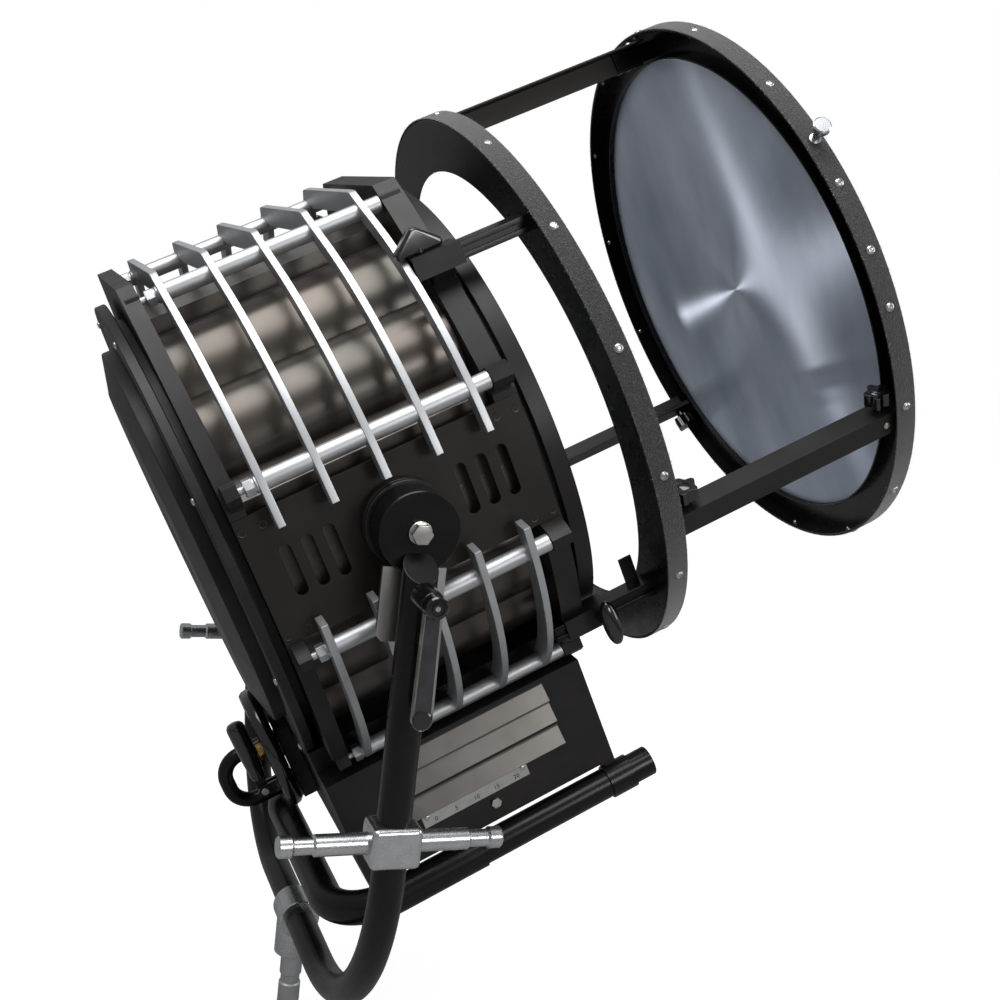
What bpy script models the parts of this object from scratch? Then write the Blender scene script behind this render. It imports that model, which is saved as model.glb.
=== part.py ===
"""An HMI lamp head in its tubular yoke, with a large Fresnel lens adapter on the front.

Metres, +Z up. The origin is the middle of the stand spigot's bottom face, +X is the front.
The head is modelled along its own optical axis: X along the beam (a), Y across (t), Z up (u).
Two empties carry it: tilt_axis on the yoke's pivots and head_frame on the optical axis.
"""
import math

import bmesh
import bpy
from mathutils import Matrix, Vector

# Clearances
GAP = 0.0003           # between pieces that touch
RUN = 0.0005           # between pieces that turn or slide on each other

# Stand spigot, boss and yoke
SPIGOT_R = 0.014
SPIGOT_LENGTH = 0.075
TENON_R = 0.010
TENON_LENGTH = 0.023
BOSS_R = 0.0235
BOSS_DROP = 0.055      # yoke bar axis above the spigot's shoulder
SLEEVE_R = 0.025
SLEEVE_LENGTH = 0.047
YOKE_TUBE_R = 0.018
YOKE_HALF_WIDTH = 0.355
YOKE_DROP = 0.581      # pivots above the bar axis
YOKE_BEND_R = 0.230
MITRE_DEG = 35.7
MITRE_DROP = 0.031
PUCK_R = 0.042
PUCK_INSET = 0.004     # puck's outer face, inside the tube's inner side
BOLT_R = 0.008
BOLT_HEAD_R = 0.011
BOLT_HEAD_H = 0.008
WASHER_R = 0.012
WASHER_T = 0.0025
NUT_R = 0.0125
NUT_T = 0.010
LEVER_DROP = 0.055     # clamp lever's axis below the pivots
LEVER_SHAFT_R = 0.005
LEVER_HUB_LENGTH = 0.0447
LEVER_HANDLE_LENGTH = 0.125
LEVER_HANDLE_T = 0.009
LEVER_HUB_R = 0.014
LEVER_HUB_TOP_R = 0.0116
LEVER_EYE_R = 0.009
LEVER_TIP_R = 0.0105
BRAKE_PLATE_T = 0.005
BRAKE_PLATE_HALF_WIDTH = 0.033
BRAKE_PLATE_TOP = 0.036
BRAKE_PLATE_BOTTOM = 0.113
PIN_DROP = 0.319       # side pins below the pivots
PIN_HALF_LENGTH = 0.118
PIN_R = 0.0113
PIN_COLLAR_R = 0.0222
PIN_COLLAR_LENGTH = 0.053
PIN_GROOVE_INSET = 0.055   # from the collar to the groove
PIN_GROOVE_WIDTH = 0.0215
PIN_GROOVE_DEPTH = 0.0023

# Head
TILT_DEG = 27.7
AXIS_DROP = 0.0057     # optical axis below the pivots
BODY_U = 0.006         # middle height of the housing and upper guard
HEAD_LENGTH = 0.320
REAR_FRAME_T = 0.018
FRONT_FRAME_T = 0.0265
HEAD_TOP = 0.308
HEAD_TOP_HALF_WIDTH = 0.118
HEAD_HALF_WIDTH = 0.281
HEAD_BOTTOM = -0.245
HEAD_BOTTOM_HALF_WIDTH = 0.197
FRAME_SHOULDER = 0.085
FRAME_BULGE = 0.012
REAR_HOLE_R = 0.236
FRONT_HOLE_R = 0.228
SIDE_PLATE_T = 0.004
SIDE_PLATE_LOW = -0.065
SIDE_PLATE_HIGH = 0.077
SLOT_WIDTH = 0.013
SLOT_HEIGHT = 0.058
SLOT_PITCH = 0.024
SLOTS_IN_GROUP = 3
SLOT_GROUP_A = 0.098
BRAKE_DISC_R = 0.0455
BRAKE_DISC_T = 0.0217
HOUSING_T = 0.0025
HOUSING_HALF_WIDTH = 0.262
HOUSING_TOP = 0.262
HOUSING_TOP_HALF_WIDTH = 0.0855
HOUSING_BOTTOM = -0.2266
NOTCH_R = 0.250
SCALLOP_RISE = 0.0266

# Guard ribs and rods
RIB_COUNT = 5
RIB_T = 0.008
RIB_REAR_INSET = 0.024
RIB_FRONT_INSET = 0.0227
LOWER_RIB_SHIFT = -0.002
RIB_OUTER_R = 0.3185
RIB_INNER_R = 0.2975
RIB_END_DEG = 10.0
RIB_SHOULDER_DEG = 58.0
RIB_TOP = 0.311
RIB_TOP_HALF_WIDTH = 0.121
LOWER_RIB_R = 0.3225
LOWER_RIB_DEPTH = 0.024
ROD_R = 0.0095
ROD_NECK_R = 0.0047
ROD_STUD_R = 0.004
ROD_HEX_R = 0.0095
ROD_HEX_H = 0.006
LUG_R = 0.0125
LUG_REACH = 0.030
TOP_ROD = (0.1235, 0.288)
UPPER_ROD = (0.2916, 0.1057)
LOWER_ROD = (0.293, -0.082)
BOTTOM_ROD = (0.1795, -0.257)

# Rear ring, cover, flange and front lens
REAR_RING_R = 0.285
REAR_RING_BORE = 0.225
REAR_RING_STEP_R = 0.262
REAR_RING_STEP_T = 0.0097
REAR_RING_T = 0.012
COVER_DEPTH = 0.026
COVER_R = 0.235
COVER_T = 0.0025
COVER_SLOPE = 0.045    # width of the cover's sloping border
COVER_WALL = 0.0137    # depth of its upright wall
FLANGE_R = 0.286
FLANGE_GROOVE_R = 0.276
FLANGE_GROOVE_WIDTH = 0.0057
FLANGE_LENGTH = 0.0257
FLANGE_BORE = 0.2362
FLANGE_LIP_R = 0.228
FLANGE_LIP_T = 0.006
LENS_T = 0.008
LENS_DOME = 0.022

# Base, skid and rear controls
BOX_HALF_WIDTH = 0.195
BOX_NECK_HALF_WIDTH = 0.150
BOX_STEP = -0.2715
BOX_BOTTOM = -0.411
BOX_WALL = 0.003
BOX_REAR = -0.165
BOX_FRONT = 0.130
REAR_LEG_T = 0.015
FRONT_LEG_T = 0.014
LEG_BOTTOM = -0.425
LOUVRE_REAR = -0.110
LOUVRE_FRONT = 0.093
LOUVRE_TOPS = (-0.278, -0.306, -0.337)
LOUVRE_DROP = 0.020
LOUVRE_STANDOFF = 0.0095
SKID_U = -0.436
SKID_R = 0.018
SKID_FRONT = 0.184
SKID_REAR = -0.230
SKID_BEND_R = 0.075
SLEEVE_FROM = -0.045
BEND_SLEEVE_R = 0.020
FRONT_SLEEVE_R = 0.0205
FRONT_SLEEVE = (0.125, 0.158)
HANDLE_T = 0.128
HANDLE_R = 0.010
HANDLE_REACH = 0.100
HANDLE_TOP = -0.335
HANDLE_LOW = -0.403
HANDLE_BEND_R = 0.028
WHEEL_T = 0.030        # focus shaft's place across the head
WHEEL_U = -0.300
WHEEL_REAR = -0.221
WHEEL_R = 0.079
WHEEL_WIDTH = 0.021
WHEEL_RIM = 0.013
WHEEL_HUB_R = 0.018
CHEEK_R = 0.008
CHEEK_T = 0.004
SHAFT_R = 0.007
SHAFT_NUT_R = 0.011
SHAFT_NUT_T = 0.007
BEARING_HALF_WIDTH = 0.030
BEARING_TOP = -0.260
BEARING_BOTTOM = -0.370
GRIP_PIVOT_DROP = 0.049
GRIP_R = 0.0118
GRIP_LENGTH = 0.082
GRIP_NECK = 0.018
GRIP_TONGUE_T = 0.006
GRIP_PIN_R = 0.003
GRIP_EYE_R = 0.0065

# Inside
TRACK_T = 0.070
TRACK_U = -0.205
TRACK_R = 0.006
TRACK_BLOCK_T = 0.008
CARRIAGE_HALF_WIDTH = 0.085
CARRIAGE_REAR = -0.105
CARRIAGE_FRONT = 0.030
CARRIAGE_TOP = -0.188
POST_HALF_WIDTH = 0.012
POST_REAR = -0.045
POST_FRONT = -0.015
TRAVEL = (-0.02, 0.09)
ARC_A = -0.030
BULB_R = 0.034
LAMP_BASE_R = 0.020
LAMP_BASE_U = -0.120
HOLDER_R = 0.026
REFLECTOR_R = 0.085
REFLECTOR_T = 0.0015
REFLECTOR_DEG = 62.0
REFLECTOR_POST_R = 0.006
IGNITOR_SIZE = (0.110, 0.110, 0.060)
IGNITOR_PLACE = (-0.070, -0.100)

# Adapter
ADAPTER_REAR = 0.247
ADAPTER_LENGTH = 0.329   # rear of the middle ring to the front of the lens ring
RING_R = 0.344
RING_WIDTH = 0.025
RING_T = 0.0025
WEB_T = 0.003
WEB_HOLE_R = 0.2806
LENS_OPENING_R = 0.2975
BIG_LENS_R = 0.3042
BIG_LENS_T = 0.006
SEAT_T = 0.0023
SEAT_DEPTH = 0.013
GROOVES = 6
GROOVE_DEPTH = 0.0022
ARM_T = 0.2201
ARM_U = 0.2198
ARM_WIDTH = 0.027
ARM_HEIGHT = 0.018
ARM_REAR = 0.120
ARM_SLOT = (0.006, 0.003)
EAR_WALL = 0.0025
UPPER_EAR = (0.1155, 0.170)
LOWER_EAR = (0.1335, 0.190)
HOOK_A = (0.222, 0.238)
HOOK_TOP = -0.170
HOOK_T = 0.003
RAIL_SIZE = 0.028
RAIL_T = 0.003
RAIL_RIDGE_R = 0.335
RAIL_DEGS = {"near": 200.0, "top": 80.0, "far": 320.0}
TAB_LENGTH = 0.052
TAB_WIDTH = 0.022
TAB_T = 0.004
STAR_R = 0.0155
STAR_H = 0.016
STAR_LOBES = 5
STAR_STEM = 0.010
STAR_STEM_R = 0.0055
STAR_HOLLOW = 0.0024
STAR_SCREW_R = 0.003
STAR_RADIUS = 0.321
STAR_REAR_A = 0.290
STAR_FRONT_INSET = 0.033
THUMB_DEG = 145.5
THUMB_STEM_R = 0.004
THUMB_HEAD_R = 0.010
THUMB_REACH = 0.031
T_BAR_HALF = 0.0265
T_BAR_R = 0.0092
TOP_BAR_R = 0.008
T_STEM_R = 0.0068
T_SCREW_R = 0.004
T_SCREW_BACK = 0.0015    # screw tips drawn back from the arms, so that the adapter slides
LOW_KNOB_A = 0.1765
LOW_KNOB_REACH = 0.265
TOP_KNOB_A = 0.130
TOP_KNOB_RISE = 0.002

# Facets round a turn
FINE = 32
MEDIUM = 16
SMALL = 8
TUBE_SIDES = 3         # bevel resolution: 10 sides

# Places worked out from the sizes above
BAR_Z = SPIGOT_LENGTH + BOSS_DROP
PIVOT_Z = BAR_Z + YOKE_DROP
REAR_A = -HEAD_LENGTH / 2
FRONT_A = HEAD_LENGTH / 2
BAY_REAR = REAR_A + REAR_FRAME_T
BAY_FRONT = FRONT_A - FRONT_FRAME_T
RIB_FIRST = BAY_REAR + RIB_REAR_INSET
RIB_PITCH = (BAY_FRONT - RIB_FRONT_INSET - RIB_FIRST) / (RIB_COUNT - 1)
SIDE_FACE = HEAD_HALF_WIDTH
DISC_FACE = SIDE_FACE + GAP + BRAKE_DISC_T
PUCK_FACE = YOKE_HALF_WIDTH - YOKE_TUBE_R + PUCK_INSET
TUBE_OUT = YOKE_HALF_WIDTH + YOKE_TUBE_R
RING_FRONT = ADAPTER_REAR + RING_WIDTH
LENS_RING_FRONT = ADAPTER_REAR + ADAPTER_LENGTH
LENS_RING_REAR = LENS_RING_FRONT - RING_WIDTH
SIDES = {"near": -1, "far": 1}

ALONG_AXIS = (math.pi / 2, 0, math.pi / 2)   # turns local Z to X, X to Y and Y to Z
NEAR_OUT = (math.pi / 2, 0, 0)               # turns local Z to -Y
FAR_OUT = (-math.pi / 2, 0, 0)               # turns local Z to +Y
OUTWARD = {"near": NEAR_OUT, "far": FAR_OUT}


def clear_scene():
    for obj in list(bpy.data.objects):
        bpy.data.objects.remove(obj, do_unlink=True)


def new_collection(name):
    made = bpy.data.collections.new(name)
    bpy.context.scene.collection.children.link(made)
    return made


def finish_material(name, color, roughness, metallic=0.0, alpha=1.0):
    made = bpy.data.materials.new(name)
    made.use_nodes = True
    shader = made.node_tree.nodes["Principled BSDF"]
    shader.inputs["Base Color"].default_value = (*color, 1.0)
    shader.inputs["Roughness"].default_value = roughness
    shader.inputs["Metallic"].default_value = metallic
    shader.inputs["Transmission Weight"].default_value = 1.0 - alpha
    return made


def add_empty(name, place, turn=(0, 0, 0), parent=None):
    empty = bpy.data.objects.new(name, None)
    empty.location = place
    empty.rotation_euler = turn
    empty.parent = parent
    PARTS.objects.link(empty)
    return empty


def smooth(mesh):
    mesh.shade_smooth()
    mesh.set_sharp_from_angle(angle=math.radians(35))


def place(name, mesh, material=None, parent=None, at=(0, 0, 0), turn=(0, 0, 0)):
    """Put a mesh in the scene: a part when it has a material, else a tool for a Boolean."""
    obj = bpy.data.objects.new(name, mesh)
    obj.location = at
    obj.rotation_euler = turn
    obj.parent = parent
    if material is None:
        obj.hide_render = True
        obj.display_type = "WIRE"
        TOOLS.objects.link(obj)
    else:
        mesh.materials.clear()
        mesh.materials.append(material)
        PARTS.objects.link(obj)
    return obj


def boolean(obj, tool, operation):
    mod = obj.modifiers.new(operation.lower(), "BOOLEAN")
    mod.operation = operation
    mod.solver = "EXACT"
    mod.object = tool
    return obj


def cut(obj, *tools):
    for tool in tools:
        boolean(obj, tool, "DIFFERENCE")
    return obj


def join(obj, *tools):
    for tool in tools:
        boolean(obj, tool, "UNION")
    return obj


def mesh_of(bm, name):
    bmesh.ops.recalc_face_normals(bm, faces=bm.faces)
    mesh = bpy.data.meshes.new(name)
    bm.to_mesh(mesh)
    bm.free()
    smooth(mesh)
    return mesh


def box_mesh(name, low, high):
    """A box between two corners."""
    bm = bmesh.new()
    size = [h - l for l, h in zip(low, high)]
    middle = [(h + l) / 2 for l, h in zip(low, high)]
    matrix = Matrix.Translation(middle) @ Matrix.Diagonal((*size, 1.0))
    bmesh.ops.create_cube(bm, size=1.0, matrix=matrix)
    return mesh_of(bm, name)


def rod_mesh(name, radius, low, high, steps=SMALL):
    """A cylinder or (with few steps) a prism along local Z."""
    bm = bmesh.new()
    matrix = Matrix.Translation((0, 0, (low + high) / 2))
    bmesh.ops.create_cone(bm, cap_ends=True, segments=steps, radius1=radius, radius2=radius,
                          depth=high - low, matrix=matrix)
    return mesh_of(bm, name)


def bore_mesh(name, radius, low, high, steps=SMALL):
    """A cutter along local Z whose flats clear a round piece of this radius."""
    return rod_mesh(name, radius / math.cos(math.pi / steps), low, high, steps)


def turned_mesh(name, profile, steps, closed=False):
    """A profile of (radius, height) points spun about local Z; the outer side runs downwards."""
    bm = bmesh.new()
    points = [bm.verts.new((radius, 0, height)) for radius, height in profile]
    pairs = list(zip(points, points[1:]))
    if closed:
        pairs.append((points[-1], points[0]))
    for pair in pairs:
        bm.edges.new(pair)
    mesh = bpy.data.meshes.new(name)
    bm.to_mesh(mesh)
    bm.free()
    obj = bpy.data.objects.new(name, mesh)
    TOOLS.objects.link(obj)
    screw = obj.modifiers.new("screw", "SCREW")
    screw.steps = steps
    screw.render_steps = steps
    screw.use_merge_vertices = True
    screw.merge_threshold = 0.00001
    return baked(obj, name)


def baked(obj, name):
    """The evaluated mesh of a helper object, welded and facing outwards; the helper is removed."""
    graph = bpy.context.evaluated_depsgraph_get()
    mesh = bpy.data.meshes.new_from_object(obj.evaluated_get(graph))
    data = obj.data
    bpy.data.objects.remove(obj, do_unlink=True)
    if isinstance(data, bpy.types.Curve):
        bpy.data.curves.remove(data)
    bm = bmesh.new()
    bm.from_mesh(mesh)
    bmesh.ops.remove_doubles(bm, verts=bm.verts, dist=0.00001)
    bmesh.ops.recalc_face_normals(bm, faces=bm.faces)
    bm.to_mesh(mesh)
    bm.free()
    mesh.name = name
    smooth(mesh)
    return mesh


def add_spline(curve, points, cyclic, scales=None):
    spline = curve.splines.new("POLY")
    spline.points.add(len(points) - 1)
    for point, co, scale in zip(spline.points, points, scales or [1.0] * len(points)):
        point.co = (*co, 1.0)
        point.radius = scale
    spline.use_cyclic_u = cyclic


def plate_mesh(name, outline, thickness, holes=()):
    """A flat outline in local X and Y, given thickness along local Z about its middle."""
    curve = bpy.data.curves.new(name, "CURVE")
    curve.dimensions = "2D"
    curve.fill_mode = "BOTH"
    curve.extrude = thickness / 2
    for loop in (outline, *holes):
        add_spline(curve, [(x, y, 0) for x, y in loop], True)
    obj = bpy.data.objects.new(name, curve)
    TOOLS.objects.link(obj)
    return baked(obj, name)


def tube_mesh(name, points, radius, scales=None):
    """A round bar along a line of points, which may swell at some of them."""
    curve = bpy.data.curves.new(name, "CURVE")
    curve.dimensions = "3D"
    curve.bevel_depth = radius
    curve.bevel_resolution = TUBE_SIDES
    curve.use_fill_caps = True
    add_spline(curve, points, False, scales)
    obj = bpy.data.objects.new(name, curve)
    TOOLS.objects.link(obj)
    return baked(obj, name)


def sheet_mesh(name, section, low, high, thickness):
    """A folded sheet: a section of (t, u) points swept along local X, thickened inwards."""
    bm = bmesh.new()
    verts = [bm.verts.new((low, t, u)) for t, u in section]
    edges = [bm.edges.new(pair) for pair in zip(verts, verts[1:])]
    swept = bmesh.ops.extrude_edge_only(bm, edges=edges)
    moved = [item for item in swept["geom"] if isinstance(item, bmesh.types.BMVert)]
    bmesh.ops.translate(bm, verts=moved, vec=(high - low, 0, 0))
    mesh = bpy.data.meshes.new(name)
    bm.to_mesh(mesh)
    bm.free()
    obj = bpy.data.objects.new(name, mesh)
    TOOLS.objects.link(obj)
    solid = obj.modifiers.new("wall", "SOLIDIFY")
    solid.thickness = thickness
    solid.offset = -1.0
    solid.use_even_offset = True
    return baked(obj, name)


def polar(radius, degrees, rise=0.0):
    angle = math.radians(degrees)
    return (radius * math.cos(angle), rise + radius * math.sin(angle))


def arc(radius, start, end, steps, rise=0.0):
    span = (end - start) / steps
    return [polar(radius, start + span * step, rise) for step in range(steps + 1)]


def bowed(start, end, rise, steps):
    """Points from start to end on an arc that stands out to the left of the way by rise."""
    start, end = Vector(start), Vector(end)
    chord = end - start
    half = chord.length / 2
    radius = (half * half + rise * rise) / (2 * rise)
    normal = Vector((-chord.y, chord.x)).normalized()
    centre = (start + end) / 2 - normal * (radius - rise)
    sweep = 2 * math.asin(half / radius)
    first = start - centre
    made = []
    for step in range(steps + 1):
        angle = -sweep * step / steps
        turned = Matrix.Rotation(angle, 2) @ first
        made.append(tuple(centre + turned))
    return made


def hole(middle, radius, steps=SMALL):
    """A hole's outline whose flats clear a round piece of this radius."""
    turn = 2 * math.pi / steps
    reach = radius / math.cos(turn / 2)
    return [(middle[0] + reach * math.cos(turn * step), middle[1] + reach * math.sin(turn * step))
            for step in range(steps)]


def mirrored(half):
    """A closed outline from its right half, which runs from top to bottom."""
    return half + [(-x, y) for x, y in reversed(half)]


def rounded_slot(middle, width, height, steps=3):
    """An upright slot with round ends."""
    radius = width / 2
    reach = height / 2 - radius
    top = arc(radius, 0, 180, steps)
    low = arc(radius, 180, 360, steps)
    x, y = middle
    return [(x + px, y + py + reach) for px, py in top] + [(x + px, y + py - reach) for px, py in low]


def side_point(side, place):
    """A (t, u) place on the near or far side."""
    return (SIDES[side] * place[0], place[1])


# Yoke


def yoke_line():
    """Middle line of the yoke's tube, from the near pivot down, along the bar and up again."""
    bend_y = YOKE_HALF_WIDTH - YOKE_BEND_R
    bend_z = BAR_Z + YOKE_BEND_R
    half = [(0, -YOKE_HALF_WIDTH, PIVOT_Z)]
    for x, z in arc(YOKE_BEND_R, 180, 270, 8):
        half.append((0, x - bend_y, z + bend_z))
    return half + [(0, -y, z) for _, y, z in reversed(half)]


def make_yoke(material):
    yoke = place("yoke_tube", tube_mesh("yoke_tube", yoke_line(), YOKE_TUBE_R), material)
    reach = 3 * YOKE_TUBE_R
    for side, sign in SIDES.items():
        turn = (-sign * math.radians(MITRE_DEG), 0, 0)
        block = box_mesh("mitre", (-reach, -reach, 0), (reach, reach, reach))
        cut(yoke, place("mitre_" + side, block, at=(0, sign * YOKE_HALF_WIDTH, PIVOT_Z - MITRE_DROP),
                        turn=turn))
    for side in SIDES:
        bore = BOLT_R + GAP
        inner = DISC_FACE + RUN
        profile = [(bore, PUCK_FACE), (PUCK_R, PUCK_FACE), (PUCK_R, inner), (bore, inner)]
        puck = turned_mesh("puck", profile, 24, closed=True)
        join(yoke, place("puck_" + side, puck, at=(0, 0, PIVOT_Z), turn=OUTWARD[side]))
    sleeve = rod_mesh("sleeve", SLEEVE_R, -SLEEVE_LENGTH / 2, SLEEVE_LENGTH / 2, MEDIUM)
    join(yoke, place("bar_sleeve", sleeve, at=(0, 0, BAR_Z), turn=NEAR_OUT))
    low = SPIGOT_LENGTH + GAP
    bore = TENON_R + GAP
    top = low + TENON_LENGTH + GAP
    boss = [(0, BAR_Z), (BOSS_R, BAR_Z), (BOSS_R, low), (bore, low), (bore, top), (0, top)]
    join(yoke, place("boss", turned_mesh("boss", boss, MEDIUM)))
    screw_hole = bore_mesh("lever_hole", LEVER_SHAFT_R + RUN, -reach, reach)
    cut(yoke, place("lever_hole", screw_hole, at=(0, -YOKE_HALF_WIDTH, PIVOT_Z - LEVER_DROP), turn=NEAR_OUT))


def make_spigot(material):
    top = SPIGOT_LENGTH + TENON_LENGTH
    groove_top = 0.046
    groove_low = 0.032
    neck = SPIGOT_R - 0.0018
    chamfer = 0.0022
    profile = [(0, top), (TENON_R - 0.001, top), (TENON_R, top - 0.001), (TENON_R, SPIGOT_LENGTH),
               (SPIGOT_R, SPIGOT_LENGTH), (SPIGOT_R, groove_top), (neck, groove_top - 0.0018),
               (neck, groove_low + 0.0018), (SPIGOT_R, groove_low), (SPIGOT_R, chamfer),
               (SPIGOT_R - chamfer, 0), (0, 0)]
    place("stand_spigot", turned_mesh("stand_spigot", profile, MEDIUM), material)


def make_side_pin(side, material):
    """A cross pin whose collar sits round the yoke's arm, with a grooved stud to each side."""
    collar = PIN_COLLAR_LENGTH / 2
    groove_low = collar + PIN_GROOVE_INSET
    groove_top = groove_low + PIN_GROOVE_WIDTH
    neck = PIN_R - PIN_GROOVE_DEPTH
    half = [(0, PIN_HALF_LENGTH), (PIN_R - 0.002, PIN_HALF_LENGTH), (PIN_R, PIN_HALF_LENGTH - 0.002),
            (PIN_R, groove_top), (neck, groove_top), (neck, groove_low), (PIN_R, groove_low),
            (PIN_R, collar), (PIN_COLLAR_R, collar)]
    profile = half + [(radius, -height) for radius, height in reversed(half)]
    name = side + "_side_pin"
    at = (0, SIDES[side] * YOKE_HALF_WIDTH, PIVOT_Z - PIN_DROP)
    pin = place(name, turned_mesh(name, profile, 12), material, at=at, turn=ALONG_AXIS)
    reach = 2 * PIN_COLLAR_R
    arm = tube_mesh("arm", [(0, 0, -reach), (0, 0, reach)], YOKE_TUBE_R + GAP)
    cut(pin, place("arm_in_" + name, arm, at=at))


def make_pivot_bolt(side, material):
    """Washer, shank and the nut behind the side plate; the hexagon is joined on."""
    name = side + "_pivot_bolt"
    face = PUCK_FACE + GAP
    washer_top = face + WASHER_T
    nut_top = SIDE_FACE - SIDE_PLATE_T - RUN
    nut_low = nut_top - NUT_T
    profile = [(0, washer_top), (WASHER_R, washer_top), (WASHER_R, face), (BOLT_R, face),
               (BOLT_R, nut_top), (NUT_R, nut_top), (NUT_R, nut_low), (0, nut_low)]
    at = (0, 0, PIVOT_Z)
    bolt = place(name, turned_mesh(name, profile, 12), material, at=at, turn=OUTWARD[side])
    head = rod_mesh("hex", BOLT_HEAD_R, washer_top - 0.001, washer_top + BOLT_HEAD_H, 6)
    join(bolt, place("hex_" + name, head, at=at, turn=OUTWARD[side]))


def make_brake_plate(material):
    """Steel plate behind the near arm, which the clamp lever pulls towards the brake disc."""
    w = BRAKE_PLATE_HALF_WIDTH
    corner = 0.006
    outline = [(-w, -BRAKE_PLATE_TOP), (w, -BRAKE_PLATE_TOP), (w, -BRAKE_PLATE_BOTTOM + corner),
               (w - corner, -BRAKE_PLATE_BOTTOM), (corner - w, -BRAKE_PLATE_BOTTOM),
               (-w, -BRAKE_PLATE_BOTTOM + corner)]
    screw_hole = hole((0, -LEVER_DROP), LEVER_SHAFT_R + RUN)
    y = YOKE_HALF_WIDTH - YOKE_TUBE_R - GAP - BRAKE_PLATE_T / 2
    mesh = plate_mesh("brake_plate", outline, BRAKE_PLATE_T, [screw_hole])
    plate = place("brake_plate", mesh, material, at=(0, -y, PIVOT_Z), turn=NEAR_OUT)
    room = rod_mesh("puck_room", PUCK_R + RUN, -BRAKE_PLATE_T, BRAKE_PLATE_T, 24)
    cut(plate, place("puck_room", room, at=(0, -y, PIVOT_Z), turn=NEAR_OUT))


def make_clamp_lever(material):
    """Tapered hub on the clamp screw, with a flat handle that hangs from it."""
    end = TUBE_OUT + GAP - YOKE_HALF_WIDTH + YOKE_TUBE_R + BRAKE_PLATE_T
    top = LEVER_HUB_LENGTH
    profile = [(0, top), (LEVER_HUB_TOP_R - 0.001, top), (LEVER_HUB_TOP_R, top - 0.001), (LEVER_HUB_R, 0),
               (LEVER_SHAFT_R, 0), (LEVER_SHAFT_R, -end), (0, -end)]
    at = (0, -TUBE_OUT - GAP, PIVOT_Z - LEVER_DROP)
    lever = place("clamp_lever", turned_mesh("clamp_lever", profile, 16), material, at=at, turn=NEAR_OUT)
    low = LEVER_TIP_R - LEVER_HANDLE_LENGTH
    outline = arc(LEVER_EYE_R, 0, 180, 5) + [(x, y + low) for x, y in arc(LEVER_TIP_R, 180, 360, 6)]
    handle = plate_mesh("handle", outline, LEVER_HANDLE_T)
    middle = (0, at[1] - 0.6 * top - LEVER_HANDLE_T / 2, at[2])
    join(lever, place("lever_handle", handle, at=middle, turn=NEAR_OUT))


# Head frames and housing


def frame_outline():
    """Right half of a head frame: flat top, bulged shoulder, recessed side flat, curved flank."""
    half = [(HEAD_TOP_HALF_WIDTH, HEAD_TOP)]
    half += bowed((HEAD_TOP_HALF_WIDTH, HEAD_TOP), (HEAD_HALF_WIDTH, FRAME_SHOULDER), FRAME_BULGE, 7)[1:]
    seat = HEAD_HALF_WIDTH - SIDE_PLATE_T - GAP
    high = SIDE_PLATE_HIGH + GAP
    low = SIDE_PLATE_LOW - GAP
    half += [(HEAD_HALF_WIDTH, high), (seat, high), (seat, low), (HEAD_HALF_WIDTH, low)]
    flank = low - 0.008
    half += bowed((HEAD_HALF_WIDTH, flank), (HEAD_BOTTOM_HALF_WIDTH, HEAD_BOTTOM), FRAME_BULGE, 5)
    return mirrored(half)


def lug_outline(spot):
    """A rod's lug: round at the rod, with straight sides that run in to the frame."""
    angle = math.atan2(spot[1], spot[0])
    local = arc(LUG_R, -90, 90, 3) + [(-LUG_REACH, LUG_R), (-LUG_REACH, -LUG_R)]
    c, s = math.cos(angle), math.sin(angle)
    return [(spot[0] + c * x - s * y, spot[1] + s * x + c * y) for x, y in local]


def make_frame(name, rear, front, hole_r, material):
    mesh = plate_mesh(name, frame_outline(), front - rear, [hole((0, 0), hole_r, FINE)])
    middle = (rear + front) / 2
    frame = place(name, mesh, material, HEAD, (middle, 0, 0), ALONG_AXIS)
    inset = 0.0015
    proud = math.copysign(inset + 0.0001, -middle)
    for index, spot in enumerate((TOP_ROD, UPPER_ROD, LOWER_ROD, BOTTOM_ROD)):
        for side in SIDES:
            lug = plate_mesh("lug", lug_outline(side_point(side, spot)), front - rear - 2 * inset)
            join(frame, place(f"{name}_lug_{side}_{index}", lug, parent=HEAD, at=(middle + proud, 0, 0),
                              turn=ALONG_AXIS))
    seat = HEAD_HALF_WIDTH - SIDE_PLATE_T - GAP
    for side, sign in SIDES.items():
        edges = sorted((sign * seat, sign * (seat + 0.04)))
        room = box_mesh("seat", (rear - 0.01, edges[0], SIDE_PLATE_LOW - GAP),
                        (front + 0.01, edges[1], SIDE_PLATE_HIGH + GAP))
        cut(frame, place(f"{name}_seat_{side}", room, parent=HEAD))
    return frame


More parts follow.
